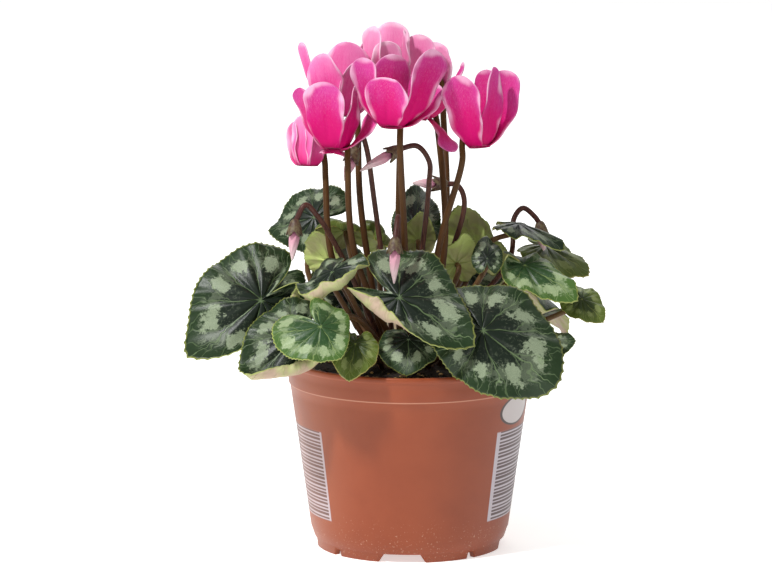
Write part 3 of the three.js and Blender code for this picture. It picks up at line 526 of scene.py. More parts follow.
def add_cup(mesh, bloom):
    """The cup that the petals spring from, open at the mouth below."""
    lathe(mesh, CUP_WALL, CUP_SIDES, 1)
    axes = np.stack([bloom["side"], bloom["across"], bloom["axis"]])
    mesh.points[-1] = bloom["mouth"] + mesh.points[-1] @ axes


def add_calyx(mesh, centre, axis, reach, height):
    """A five-lobed calyx: a small bowl with pointed sepals that lie along the flower."""
    side = unit(vec(0, 1, 0) - axis * axis[1])
    across = np.cross(axis, side)
    points = []
    for out, level in [(out, height * level) for out, level in BOWL] + SEPALS:
        for k in range(CALYX_TURNS):
            angle = 2 * math.pi * k / CALYX_TURNS
            lobe = 0.5 + 0.5 * math.cos(5 * angle)
            drop = level * lobe if out > 1 else level
            spread = reach * (1 + (out - 1) * lobe) if out > 1 else reach * (0.35 + 0.65 * out)
            points.append(centre + axis * drop + around(side, across, angle) * spread)
    top = len(points)
    last = top - CALYX_TURNS
    points.append(centre + axis * (height + 0.2))
    faces = band_faces(last // CALYX_TURNS, CALYX_TURNS)
    faces += [(top, (k + 1) % CALYX_TURNS, k) for k in range(CALYX_TURNS)]
    faces = [tuple(reversed(face)) for face in faces]
    places = np.zeros((len(points), 2))
    places[:-1, 1] = np.repeat([out for out, _ in BOWL + SEPALS], CALYX_TURNS)
    add_sheet(mesh, np.array(points), faces, list(range(last, top)), [CALYX_THICKNESS], places, 1, 1)


def add_bloom(name, bloom):
    """The corolla, and the stalk that hooks over behind it, with the calyx."""
    mouth, axis = bloom["mouth"], bloom["axis"]
    corolla = Mesh()
    for number, petal in enumerate(bloom["petals"]):
        add_petal(corolla, bloom, petal, number * 1.7 + mouth[0])
    add_cup(corolla, bloom)
    stand_in(corolla, f"flower_{name}_petals", [PETAL_LOOKS.get(name, PETAL), MOUTH])
    outward = around(bloom["side"], bloom["across"], math.radians(bloom["pass"]))
    hook = [mouth + outward * out + axis * height for out, height in HOOK]
    seat = mouth + axis * SEAT
    path = stem_points(bloom["crown"], bloom["stalk"] + hook + [seat], STALK_PIECES)
    radii = [STALK_RADIUS * (1 - STALK_TAPER * i / len(path)) for i in range(len(path))]
    stalk = Mesh()
    add_tube(stalk, path, radii, STALK_SIDES)
    add_calyx(stalk, seat, axis, *CALYX_SIZE)
    stand_in(stalk, f"flower_{name}_stalk", [STALK, CALYX])


# Buds

BUD_SHARES = [0, 0.06, 0.16, 0.25, 0.4, 0.55, 0.7, 0.82, 0.92, 0.98, 1]
BUD_SWELL = [0.5, 0.75, 0.95, 1, 0.93, 0.8, 0.6, 0.42, 0.26, 0.14, 0.04]
BUD_RADIUS = 2.7
BUD_TWIST = 100.0
BUD_START = 4.35
BUD_ROWS = 40
BUD_TURNS = 50
BUD_STALK_PIECES = 50
BUD_STALK_SIDES = 12
BUD_CALYX_START = 4.4
BUD_CALYX_SIZE = (3.3, 5.6)


def bud_form(crown, neck, tip, *stalk):
    """Where a bud's stalk springs, where its head is joined and ends, and places on the stalk."""
    return {"crown": crown, "neck": vec(*neck), "tip": vec(*tip), "stalk": [vec(*place) for place in stalk]}


def add_bud(name, bud):
    """The wound petals of a closed flower, and the stalk that hooks over to them, with the calyx."""
    axis = unit(bud["tip"] - bud["neck"])
    side = unit(vec(0, 1, 0) - axis * axis[1])
    across = np.cross(axis, side)
    start = bud["neck"] + axis * BUD_START
    points = []
    places = []
    for row in range(BUD_ROWS + 1):
        share = row / BUD_ROWS
        swell = float(np.interp(share, BUD_SHARES, BUD_SWELL))
        centre = start + (bud["tip"] - start) * share
        for k in range(BUD_TURNS):
            turn = k / BUD_TURNS
            angle = 2 * math.pi * turn + math.radians(share * BUD_TWIST)
            flute = 0.5 + 0.5 * math.cos(5 * 2 * math.pi * turn)
            edge = ((turn * 5) % 1) ** 3
            reach = BUD_RADIUS * swell * (0.86 + 0.1 * flute + 0.05 * edge)
            points.append(centre + side * reach * math.cos(angle) + across * reach * math.sin(angle))
            places.append((turn, share))
    petals = Mesh()
    petals.add(points, closed_faces(BUD_ROWS, BUD_TURNS), places=places)
    stand_in(petals, f"bud_{name}_petals", [BUD])
    path = stem_points(bud["crown"], bud["stalk"] + [bud["neck"]], BUD_STALK_PIECES)
    stalk = Mesh()
    add_tube(stalk, path, [BUD_STALK_RADIUS] * len(path), BUD_STALK_SIDES)
    add_calyx(stalk, bud["neck"] + axis * BUD_CALYX_START, -axis, *BUD_CALYX_SIZE)
    stand_in(stalk, f"bud_{name}_stalk", [BUD_STALK, BUD_CALYX])


# Materials. A range of four numbers rises between the first two and falls between the last two.

VEIN_WIDTH = 0.015
VEIN_THINNING = 0.008
VEIN_FORKS = ((0.28, 1.05, 0.5), (0.55, 1.1, 0.24))
RING_HALF_WIDTH = 0.165
STREAKS = (0.55, 0.68, 0.78, 0.9)
FRECKLES = (0.2, 0.4, 0.8, 0.92)
PANEL_HEIGHTS = (17.0, 18.0, 61.5, 62.5)
PANEL_LEFT = (-50.0, -50.4)
PANEL_RIGHT = (48.6, 49.0)
PANEL_END = (98.4, 98.0)
LINE_SPACING = 1.8
LINE_TURNS = (51.4, 52.0, 95.8, 96.4)
OVAL = {"turn": 64.0, "half_turn": 15.0, "z": 71.5, "half_height": 7.6}
DUST_HEIGHTS = (26.0, 6.0)


def colour(code):
    """A colour written as rrggbb, as linear light."""
    parts = [int(code[i:i + 2], 16) / 255 for i in (0, 2, 4)]
    linear = [c / 12.92 if c <= 0.04045 else ((c + 0.055) / 1.055) ** 2.4 for c in parts]
    return (*linear, 1.0)


class Value:
    """A node's result, which can be reckoned with."""

    def __init__(self, socket):
        self.socket = socket
        self.tree = socket.id_data

    def __add__(self, other):
        return maths("ADD", self, other)

    def __sub__(self, other):
        return maths("SUBTRACT", self, other)

    def __mul__(self, other):
        return maths("MULTIPLY", self, other)

    def __truediv__(self, other):
        return maths("DIVIDE", self, other)

    def __abs__(self):
        return maths("ABSOLUTE", self)


def put(socket, value):
    """Gives an input another node's result, a colour's code or a plain value."""
    if isinstance(value, Value):
        value.tree.links.new(value.socket, socket)
    else:
        socket.default_value = colour(value) if isinstance(value, str) else value


def results(kind, inputs, **settings):
    """The results of a new node, one of whose inputs at least is another node's result."""
    tree = next(value.tree for value in inputs.values() if isinstance(value, Value))
    node = tree.nodes.new(kind)
    for key, value in settings.items():
        setattr(node, key, value)
    for key, value in inputs.items():
        put(node.inputs[key], value)
    return [Value(socket) for socket in node.outputs]


def maths(operation, *values):
    return results("ShaderNodeMath", dict(enumerate(values)), operation=operation)[0]


def length(a, b):
    return maths("SQRT", a * a + b * b)


def step(low, high, x):
    """Smooth step. low may be above high, which turns it round."""
    ends = (high, low, 1.0, 0.0) if low > high else (low, high, 0.0, 1.0)
    inputs = dict(zip(("Value", "From Min", "From Max", "To Min", "To Max"), (x, *ends)))
    return results("ShaderNodeMapRange", inputs, interpolation_type="SMOOTHSTEP")[0]


def between(low, rise, fall, high, x):
    return step(low, rise, x) * step(high, fall, x)


def mix(share, under, over):
    return results("ShaderNodeMix", {0: share, 6: under, 7: over}, data_type="RGBA")[2]


def vector(x, y, z=0.0):
    return results("ShaderNodeCombineXYZ", {0: x, 1: y, 2: z})[0]


def scaled(at, x, y, z):
    return results("ShaderNodeVectorMath", {0: at, 1: (x, y, z)}, operation="MULTIPLY")[0]


def noise(at, scale, detail, rough=0.55):
    inputs = {"Vector": at, "Scale": scale, "Detail": detail, "Roughness": rough}
    return results("ShaderNodeTexNoise", inputs)[0]


class Shade:
    """A material: at is its place in millimetres, and across and along are its surface coordinates."""

    def __init__(self, name, roughness, specular=0.5):
        self.material = bpy.data.materials.new(name)
        self.material.use_nodes = True
        nodes = self.material.node_tree.nodes
        self.inputs = nodes["Principled BSDF"].inputs
        self.inputs["Roughness"].default_value = roughness
        self.inputs["Specular IOR Level"].default_value = specular
        place = nodes.new("ShaderNodeTexCoord").outputs
        self.at = scaled(Value(place["Object"]), 1000, 1000, 1000)
        self.across, self.along, _ = results("ShaderNodeSeparateXYZ", {0: Value(place["UV"])})

    def finish(self, base, height=None, distance=0.0003, roughness=None, strength=0.6):
        put(self.inputs["Base Color"], base)
        if roughness is not None:
            put(self.inputs["Roughness"], roughness)
        if height is not None:
            inputs = {"Strength": strength, "Distance": distance, "Height": height}
            put(self.inputs["Normal"], results("ShaderNodeBump", inputs)[0])
        return self.material


def leaf_fields(shade):
    """Share of the way to the margin, distance from the veins and noises over the leaf."""
    x = shade.across * 2.0 - 1.0
    y = shade.along * 2.0 - 1.0
    wide = noise(shade.at, 0.09, 2.0)
    turn = (wide - 0.5) * 26.0 + maths("ARCTAN2", y, x) * (180 / math.pi)
    sector = turn / VEIN_TURN
    return length(x, y), abs(sector - maths("ROUND", sector)), turn, wide, noise(shade.at, 0.45, 4.0)


def vein_mask(share, near):
    """Main veins and the branches that fork off them towards the margin."""
    veins = step(1.0, 0.35, near * math.radians(VEIN_TURN) * share / (share * -VEIN_THINNING + VEIN_WIDTH))
    for start, end, bend in VEIN_FORKS:
        gap = abs(near - step(start, end, share) * bend) * math.radians(VEIN_TURN) * share
        branch = step(0.01, 0.003, gap) * step(start, start + 0.12, share)
        veins = maths("MAXIMUM", veins, branch * 0.55)
    return veins


def leaf_upper(name, codes, amount=1.0, ring_at=0.55, spread=0.3, band=0.3):
    """A waxy leaf with a ring of silver patches between its veins, and lighter freckles around them."""
    deep, mid, silver, vein, margin = codes.split()
    shade = Shade(name, 0.4, 0.3)
    at = shade.at
    share, near, turn, wide, fine = leaf_fields(shade)
    veins = vein_mask(share, near)
    radial = abs((share - (wide * 0.2 + ring_at)) / RING_HALF_WIDTH)
    rag = (noise(at, 0.16, 2.0) - 0.5) * 1.6 + (fine - 0.5) * 1.4 + (noise(at, 0.9, 5.0, 0.7) - 0.5)
    marks = step(0.98, 0.7, length(radial, (near - 0.5) / spread) + rag)
    joined = step(0.85, 0.45, rag * 1.3 + radial * 1.1)
    spokes = vector(turn * 0.16, share * 3.0, wide)
    streaks = step(0.54, 0.62, noise(spokes, 1.6, 3.0, 0.6)) * between(*STREAKS, share)
    freckles = step(0.54, 0.6, noise(at, 0.7, 5.0, 0.75)) * between(*FRECKLES, share)
    for more in (joined * band, streaks * 0.55, freckles * 0.22):
        marks = maths("MAXIMUM", marks, more)
    marks = marks * amount
    grain = noise(at, 2.4, 2.0)
    ground = mix(step(0.6, 1.05, fine * 0.3 + share), deep, mid)
    light = mix(0.75, mix(step(0.42, 0.62, grain), mid, silver), silver)
    base = mix(veins * 0.6, mix(marks * 0.92, ground, light), vein)
    base = mix(step(0.972, 0.99, share), base, margin)
    return shade.finish(base, veins * -1.0 + grain * 0.3, 0.0004, marks * 0.12 + 0.36)


def leaf_lower(name, codes):
    """A leaf's matt underside with raised veins."""
    pale, flush, vein, margin = codes.split()
    shade = Shade(name, 0.6)
    share, near, _, _, fine = leaf_fields(shade)
    veins = vein_mask(share, near)
    base = mix(step(0.4, 0.6, noise(shade.at, 0.08, 4.0)), pale, flush)
    base = mix(veins * 0.45, mix(fine * 0.35, base, vein), vein)
    return shade.finish(mix(step(0.965, 0.99, share), base, margin), veins + fine, 0.0004)


def stem_material(name, codes, roughness=0.38):
    """A smooth stem whose colour changes along it."""
    low, high, flush = codes.split()
    shade = Shade(name, roughness, 0.2)
    streak = noise(scaled(shade.at, 1.6, 1.6, 0.12), 1.0, 3.0)
    # The colour runs from low at the foot to high at the top; a darker foot is partly the stem's own colour
    # and partly painted shade among the crowded stems.
    base = mix(step(0.42, 0.68, streak), mix(shade.along, low, high), flush)
    return shade.finish(base, noise(shade.at, 1.8, 2.0), 0.00008)


def petal_material(name, codes):
    """A velvety petal: deepest at the mouth, paler outwards, with lengthwise streaks and a light edge."""
    mouth, core, middle, pale, rim = codes.split()
    shade = Shade(name, 0.62, 0.12)
    at, across, along = shade.at, shade.across, shade.along
    edge = abs(across * 2.0 - 1.0)
    streak = noise(vector(across * 22.0, along * 1.4), 1.6, 4.0) - 0.5
    out = maths("POWER", edge, 2.5) * 0.2 + along
    out = streak * 0.35 + ((noise(at, 0.055, 2.0) - 0.5) * 0.6 + out)
    base = mix(step(0.55, 1.15, out), mix(step(0.2, 0.75, out), core, middle), pale)
    margin = streak * 0.25 + maths("MAXIMUM", edge, step(0.8, 1.0, along))
    margin = (noise(at, 0.09, 1.0) - 0.5) * 1.1 + margin
    base = mix(step(0.74, 1.12, margin) * step(0.15, 0.55, along) * 0.78, base, rim)
    net = noise(vector(across * 110.0, along * 18.0), 1.3, 4.0, 0.7)
    base = mix(step(0.48, 0.72, net) * step(0.3, 1.0, along) * 0.32, base, rim)
    base = mix(step(0.3, 0.04, along) * 0.85, base, mouth)
    return shade.finish(base, streak, strength=0.3)


def mottled(name, codes, scale, roughness, distance, detail=4.0):
    """A plain mottled material."""
    low, high = codes.split()
    shade = Shade(name, roughness)
    patch = noise(shade.at, scale, detail)
    return shade.finish(mix(step(0.35, 0.68, patch), low, high), patch, distance)


def panel_lines(z, run):
    """Plain dark lines round the pot, of different thicknesses, between the two ends of a panel."""
    level = maths("FRACT", z / LINE_SPACING)
    uneven = maths("FRACT", maths("FLOOR", z / LINE_SPACING) * 0.618)
    line = step(0.07, 0.0, level - (uneven * 0.34 + 0.5))
    return line * step(0.06, 0.14, level) * between(*LINE_TURNS, run)


def pot_material(name):
    """Semi-matt moulded plastic with a plain printed panel at each side and a light oval patch; painted
    light on its left side, painted shade on its right and a painted highlight along the band's edge.
    """
    shade = Shade(name, 0.42, 0.4)
    at = shade.at
    x, y, z = results("ShaderNodeSeparateXYZ", {0: at})
    turn = maths("ARCTAN2", x, y * -1.0) * (180 / math.pi)
    run = abs(turn)
    cloud = noise(at, 0.05, 3.0)
    base = mix(step(0.3, 0.7, cloud), "873c1b", "8d4120")
    dust = step(0.6, 0.68, noise(at, 0.9, 5.0, 0.7)) * step(*DUST_HEIGHTS, z)
    base = mix(dust * 0.6, base, "d2b094")
    # Painted highlight: a light line along the band's lower edge, where the raised edge catches the light.
    base = mix(step(0.45, 0.1, abs(z - (POT_BAND_Z + 0.25))) * 0.45, base, "d9a78c")
    sides = maths("MAXIMUM", step(*PANEL_LEFT, turn), step(*PANEL_RIGHT, turn))
    panels = sides * between(*PANEL_HEIGHTS, z) * step(*PANEL_END, run)
    base = mix(panels * 0.92, base, mix(panel_lines(z, run) * 0.9, "bebac2", "232021"))
    oval = length((turn - OVAL["turn"]) / OVAL["half_turn"], (z - OVAL["z"]) / OVAL["half_height"])
    base = mix(step(1.0, 0.98, oval), base, "3f3836")
    base = mix(step(0.88, 0.86, oval), base, "c2bcbb")
    # Painted shade and light: the pot is darkened towards its right side and lightened towards its left, as
    # the light falls from the left.
    base = mix(step(-6.0, 44.0, x) * 0.2, base, "56230f")
    base = mix(step(-22.0, -52.0, x) * 0.3, base, "b06844")
    return shade.finish(base, noise(at, 3.2, 2.0), 0.00005, cloud * 0.1 + 0.38)


def leaf_look(kind, upper, lower, **markings):
    """The two faces and the slot of one kind of leaf."""
    faces = [leaf_upper(f"leaf_{kind}_upper", upper, **markings), leaf_lower(f"leaf_{kind}_lower", lower)]
    return {"faces": faces, "slot": f"leaf_{kind}"}


LEAF_LOOKS = {
    "dark": leaf_look(
        "dark", "0f1c10 1c3014 8f9c80 71875c 757c3b", "b2b67e b89c8c 8c9458 9aa35a"),
    "fresh": leaf_look(
        "fresh", "2a4724 45632b 9cad84 93a866 9aa555", "b2c27c b0a880 8fa256 a8ab66",
        ring_at=0.62, spread=0.36, band=0.5),
    "yellow": leaf_look(
        "yellow", "303d18 526124 909a62 8f9850 a59a50", "b9c873 aaa674 92a252 7f8c40", amount=0.6),
}
PALE_PETAL = petal_material("petal_pale", "8a0a44 d24488 dd6ba4 e79ac2 f6d3e4")
PETAL_LOOKS = {
    "left_half_open": petal_material("petal_young", "8a0a44 d01f72 dc5c9c e494be f2cadd"),
    "back_left": petal_material("petal_soft", "8a0a44 cc1673 d63f8c dd7ab0 f0c6dc"),
    "back_centre": PALE_PETAL,
    "back_right": PALE_PETAL,
}
PETAL = petal_material("petal", "780034 be005e be0066 be3a8a e8b9d2")
BUD = petal_material("bud", "b8708c c893a2 cbabb0 d0bbba dccfcb")
MOUTH = mottled("petal_mouth", "7c0038 8f0648", 0.3, 0.6, 0.0001)
CALYX = mottled("calyx", "4d2f22 6d4a35", 0.6, 0.5, 0.0002)
BUD_CALYX = mottled("bud_calyx", "43291f 665a3c", 0.7, 0.55, 0.0002)
# The petioles and flower stalks are darker at the foot: partly their own colour, and partly painted shade
# where they crowd together at the tuber.
PETIOLE = stem_material("petiole", "3c2518 8a7048 5a3826")
STALK = stem_material("stalk", "452810 5b4012 44290c", 0.5)
BUD_STALK = stem_material("bud_stalk", "5b3a2b 4a2a25 3d211e")


# The plant. A stem springs from the tuber at an angle and a distance from the tuber's middle.

LEAVES = {
    "left_outer": leaf_form(
        (-71.5, -22, 124), (-106, -40, 101), (198, 21), twist=-60, lobe=0.15, width=0.96, skew=-0.08,
        bends=[(135, 45, 200, 0.4), (60, 40, 190, 0.55)]),
    "left_low": leaf_form(
        (-53, -44, 112), (-80.5, -64, 89), (219, 21), twist=-45, lobe=0.05, skew=0.12,
        bends=[(80, 65, 210, 0.45), (20, 30, 150, 0.7)]),
    "front_bright": leaf_form(
        (-42.5, -69, 119.7), (-32, -79, 108.5), (247, 15), twist=28, width=1.2, lobe=0.6, point=0.5,
        skew=-0.14, colour="fresh", via=(-28, -43, 120)),
    "front_left_high": leaf_form(
        (-37, -41, 141), (-49, -55, 123.5), (226, 15), twist=10, width=1.35, lobe=0.08,
        bends=[(25, 75, 180, 0.5)]),
    "centre_big": leaf_form(
        (-5.5, -58, 131.7), (30, -74, 115.2), (270, 15), twist=48, lobe=0.25, width=0.95, point=1,
        skew=0.08, sinus=20, bends=[(-100, 62, 200, 0.3)]),
    "right_big": leaf_form(
        (34, -56, 115.5), (71, -68, 93.5), (304, 21), twist=50, point=0.2, lobe=0.12, skew=0.1),
    "front_small": leaf_form(
        (-26, -58, 109.5), (-30, -72, 96.5), (240, 21), small=True, point=0.5, colour="yellow"),
    "front_low": leaf_form((-1, -47, 109.5), (-2, -60, 96.5), (258, 21), width=1.45, small=True),
    "right_high": leaf_form(
        (55, -11, 139), (81.5, -26, 131), (343, 15), twist=22, width=0.82, colour="fresh",
        bends=[(-150, 40, 190, 0.35)]),
    "right_top": leaf_form((52.5, 2, 157), (76.5, -4, 152.5), (358, 15), width=0.9, via=(38, 6, 147)),
    "centre_right_pale": leaf_form((22.5, 0.5, 138), (24.5, -5, 156.5), (300, 15), colour="yellow"),
    "back_right_pale": leaf_form((33, 27, 142), (26.5, 16, 169), (40, 15), skew=0.1, colour="yellow"),
    "back_left_roll": leaf_form(
        (-31, 9, 153), (-47.5, 3, 162.5), (146, 15), small=True, twist=42, width=1.1, colour="yellow",
        bends=[(60, 60, -170, 0.6)]),
    "back_mid_roll": leaf_form(
        (-12, 14, 147), (-20, 9, 166.5), (122, 15), width=1.45, colour="yellow",
        bends=[(0, 70, -170, 0.6)]),
    "back_centre": leaf_form(
        (3, 34, 150), (4, 50, 173), (80, 15), width=0.75, bends=[(90, 40, 40, 0.4), (-90, 40, 40, 0.4)]),
    "back_left": leaf_form(
        (-46.5, 26, 156.5), (-72, 32, 151.5), (156, 21), twist=-55, lobe=0.2, width=1.05, skew=-0.08,
        via=(-50, 26, 130)),
    "far_right_pale": leaf_form(
        (66.5, 28, 142), (89, 16, 135), (29, 21), twist=10, colour="yellow", via=(50, 14, 129)),
    "far_right_low": leaf_form(
        (83, -6, 121.5), (94, -14, 114), (346, 21), small=True, twist=30, lobe=0.2, colour="yellow"),
    "right_low": leaf_form((66, -14, 100.5), (78.5, -18, 106), (325, 21), small=True, twist=40, width=1.2),
    "right_pink": leaf_form(
        (63.5, 10, 110.5), (76, 4, 118.5), (8, 21), small=True, sinus=18, colour="yellow"),
    "right_small": leaf_form(
        (37, -19.5, 143.5), (37, -9, 155.5), (322, 15), small=True, width=0.85, sinus=18),
    "left_behind": leaf_form((-72, 12, 123), (-94, 2, 99), (177, 21), twist=-60, lobe=0.15),
    "left_inner": leaf_form((-39, -1, 139.5), (-43, -6, 158), (172, 15), width=1.1, colour="yellow"),
    "centre_pale": leaf_form(
        (4, 20, 146), (4.5, 15, 164), (60, 15), small=True, width=0.8, sinus=18, colour="yellow"),
    "rear_right": leaf_form((56, 50, 118), (84, 71, 97), (50, 21), small=True),
    "rear_mid_right": leaf_form((27, 42, 128), (32, 56, 153), (71, 21), small=True, width=1.2),
    "rear_middle": leaf_form((2.5, 66, 108), (1.5, 102, 85), (92, 21), small=True),
    "rear_mid_left": leaf_form(
        (-30.5, 44, 114), (-33.5, 54, 149), (116, 21), small=True, width=0.85, via=(-28.5, 45.5, 103)),
    "rear_left": leaf_form((-69, 51, 111), (-94, 75, 91), (135, 21), small=True),
}

BLOOMS = {
    "left_half_open": bloom_form(
        (-49.5, -8, 186.5), (0.03, 0.2, 1), (192, 10.5), 5, (-37, -18, 142),
        (-115, (-50, -15, 213), 12.5, -12, 0.18, 1.5),
        (-50, (-46, -12, 209), 12, -12, 0.18, 1),
        (195, (-54, -8, 211), 12, -12, 0.18, 0.5),
        (60, (-47, -1, 207.5), 13, -12, 0.18, 2),
        (125, (-53, -1, 208.5), 13, -12, 0.18, 2),
    ),
    "front_left": bloom_form(
        (-36.5, -34, 198), (0.05, 0.3, 1), (252, 10.5), 40, (-27, -28, 149.5),
        (-110, (-40, -47, 233), 22, -12, 0.2),
        (-48, (-26.5, -39, 230), 15, 45),
        (-5, (-16.5, -33, 219), 14, 50),
        (160, (-52, -34, 228.5), 15, 60),
        (95, (-34.5, -13, 195.5), 15, 10),
    ),
    "back_left": bloom_form(
        (-33.5, 6, 208.5), (0, 0.1, 1), (160, 10.5), -22, (-24, -1, 168.5),
        (-120, (-41, -4, 241), 22, -20),
        (-66, (-23, -6, 238), 20, 10),
        (22, (-22, 7, 230), 15, 20),
        (80, (-30, 17, 244), 22),
        (157, (-52.5, 12, 244.5), 9, 70),
    ),
    "back_centre": bloom_form(
        (-12, 22, 219), (0, 0.05, 1), (100, 10.5), -34, (-5.5, 13, 159.5),
        (-140, (-16.5, 13, 252), 18),
        (-80, (-11.5, 8, 245.5), 15),
        (16, (-3, 19, 249), 17),
        (78, (-8.5, 32, 252), 19),
        (150, (-18.5, 30, 243.5), 17),
    ),
    "back_right": bloom_form(
        (8.5, 40, 212.5), (0.05, 0, 1), (45, 10.5), -25, (17.5, 18, 159),
        (-100, (4, 31, 246), 18),
        (25, (15, 37, 239), 13, 20),
        (75, (12.5, 49, 240), 16),
        (130, (4, 50, 242), 16),
        (195, (0, 47, 238), 12),
    ),
    "front_centre": bloom_form(
        (-9, -46, 210.5), (0.05, 0.3, 1), (282, 10.5), 62, (-3, -31, 160.5),
        (-110, (-8.5, -59, 236), 22, -12, 0.3, 6),
        (-25, (10.5, -50, 249), 24),
        (180, (-22, -50, 245), 17, 60),
        (115, (-7, -31, 244), 19),
        (20, (12.5, -37, 231), 14, 50),
    ),
    "right_behind": bloom_form(
        (5.5, -6, 208.5), (-0.1, 0.2, 1), (340, 10.5), 34, (16.8, -12.5, 151),
        (-110, (5, -17, 232), 20),
        (-50, (25.5, -13, 238), 14, 55),
        (-8, (20.5, -12, 194.5), 15, 30),
        (115, (7, 11, 228.5), 16),
        (190, (-3.5, -2, 228), 15),
    ),
    "right": bloom_form(
        (33, -32, 199), (-0.08, 0.25, 1), (312, 10.5), 165, (15, -22, 155.5),
        (-130, (25.5, -50, 236), 24, -12, 0.25),
        (-65, (39, -47, 240), 16, 50),
        (4, (45.5, -35, 237), 18, 62),
        (65, (36, -17, 235), 17),
        (115, (25, -18, 229), 14),
    ),
}

BUDS = {
    "upper_left": bud_form(
        (160, 4.8), (-26.5, -12, 195.5), (-31.5, -16, 181), (-17, -6, 168), (-21, -9, 196),
        (-23, -10, 201.5)),
    "lower_left": bud_form(
        (222, 10.5), (-54.8, -36, 164.4), (-56.3, -38, 146), (-34.5, -24, 149), (-44, -31, 166),
        (-50, -34, 172.3)),
    "front": bud_form(
        (245, 4.8), (-7.3, -54, 158.7), (-7.8, -56, 137.9), (-5.9, -27, 148), (-5.9, -37, 158),
        (-5.9, -45, 168.3)),
    "upper_centre": bud_form(
        (310, 4.8), (-5.4, -22, 197.4), (-24, -28, 187.7), (9, -14, 179), (9, -18, 191), (3.2, -20, 198.6)),
    "right": bud_form((15, 4.8), (17, 6, 176.2), (1, 4, 177), (26.4, 6, 167), (22.8, 6, 175.7)),
    "far_right": bud_form(
        (18, 10.5), (63.5, 20, 154.3), (65.5, 20, 141), (48, 7, 138), (51, 18, 158), (55.2, 20, 162.2),
        (60.6, 20, 158.3)),
}

for number, (leaf_name, leaf) in enumerate(LEAVES.items()):
    leaf["seed"] = 1.3 * number + 0.4
    add_leaf(leaf_name, leaf, LEAF_LOOKS[leaf.get("colour", "dark")])

for bloom_name, bloom in BLOOMS.items():
    add_bloom(bloom_name, bloom)

for bud_name, bud in BUDS.items():
    add_bud(bud_name, bud)


# Tuber


def rough_height(points, seed, count, low, high):
    """A sum of sine waves of random directions at the points, for uneven ground."""
    draw = random.Random(seed)
    height = total = 0
    for _ in range(count):
        angle = draw.uniform(0, 2 * math.pi)
        tilt = draw.uniform(-1, 1)
        size = draw.uniform(low, high)
        share = 1 / size**0.7
        height = height + share * np.sin(points @ (polar(1, angle, tilt) * size) + draw.uniform(0, 6.28))
        total += share
    return height / total**0.5


def add_tuber():
    """The flattened corm, with an uneven skin that stays inside its solid."""
    mesh = Mesh()
    half = CROWN["depth"] / 2
    middle = CROWN["top"] - half
    profile = [(0, CROWN["top"] - CROWN["depth"])]
    profile += [
        (CROWN["radius"] * math.cos(a), middle + half * math.sin(a))
        for a in np.radians(np.linspace(-90, 90, 49))[1:-1]
    ]
    profile += [(0, CROWN["top"])]
    lathe(mesh, profile, 96, 0, (CROWN["x"], CROWN["y"]))
    points = mesh.points[0]
    bumps = rough_height(points, 3, 24, 0.25, 1.4)[:, None]
    mesh.points[0] = points + (points - vec(CROWN["x"], CROWN["y"], middle)) * (bumps * 0.012 - 0.02)
    stand_in(mesh, "tuber", [mottled("tuber", "3f3024 7a5f45", 0.5, 0.9, 0.0006)])


# Pot

POT_SIDES = 360
BODY_STEPS = 14


def wall_radius(z):
    """The outer radius of the pot's wall at a height."""
    if z > POT_BAND_Z:
        return POT_RIM_RADIUS - 0.8
    share = (z - POT_BODY_Z) / (POT_BAND_Z - POT_BODY_Z)
    return POT_BODY_RADIUS_LOW + (POT_BODY_RADIUS_HIGH - POT_BODY_RADIUS_LOW) * share


def notch_height(angle_degrees, radius):
    """How high a notch cuts into the foot ring at an angle, or 0."""
    for notches in (WIDE_NOTCHES, NARROW_NOTCHES):
        spacing = 360 / notches["count"]
        off = (angle_degrees - notches["first"] + spacing / 2) % spacing - spacing / 2
        across = abs(math.radians(off) * radius)
        if across < notches["width"] / 2:
            lean = (notches["width"] - notches["top"]) / 2
            return notches["height"] * min(1, (notches["width"] / 2 - across) / max(lean, 0.15))
    return 0.0


def pot_profile():
    """From the middle of the foot up the outside, over the rim and down the inside."""
    ring, foot, rim = FOOT_INNER_RADIUS, POT_FOOT_RADIUS, POT_RIM_RADIUS
    low, high = POT_BODY_RADIUS_LOW, POT_BODY_RADIUS_HIGH
    underside = [
        (0, 0), (PAD_RADIUS - 0.4, 0), (PAD_RADIUS, 0.2), (PAD_RADIUS + 2, POT_FOOT_HEIGHT - 0.3),
        (PAD_RADIUS + 2.6, POT_FOOT_HEIGHT), (ring - 0.4, POT_FOOT_HEIGHT), (ring, POT_FOOT_HEIGHT - 0.3),
        (ring, 0.3), (ring + 0.3, 0), (foot - 0.3, 0), (foot, 0.3), (foot + 0.3, POT_FOOT_HEIGHT - 0.2),
        (foot + 0.9, POT_FOOT_HEIGHT + 0.4), (low - 0.7, 8.2), (low, POT_BODY_Z),
    ]
    body = [
        (low + (high - low) * i / BODY_STEPS, POT_BODY_Z + (POT_BAND_Z - POT_BODY_Z) * i / BODY_STEPS)
        for i in range(1, BODY_STEPS)
    ]
    band = [
        (high - 0.03, POT_BAND_Z - 0.25), (high + 0.45, POT_BAND_Z + 0.05), (high + 0.6, POT_BAND_Z + 0.4),
        (rim - 1.0, 86), (rim - 0.7, 89.8), (rim - 0.45, 90.2), (rim - 0.1, 90.5), (rim, 90.9), (rim, 92.2),
        (rim - 0.2, 92.7), (rim - 0.7, POT_HEIGHT),
    ]
    inside = [
        (58.7, POT_HEIGHT), (58.2, 92.8), (57.9, 92.2), (POT_BAND_INNER_RADIUS, POT_BAND_Z),
        (low - POT_WALL, POT_BODY_Z), (low - POT_WALL - POT_FLOOR_INSET, POT_FLOOR_TOP), (0, POT_FLOOR_TOP),
    ]
    return underside + body + band + inside


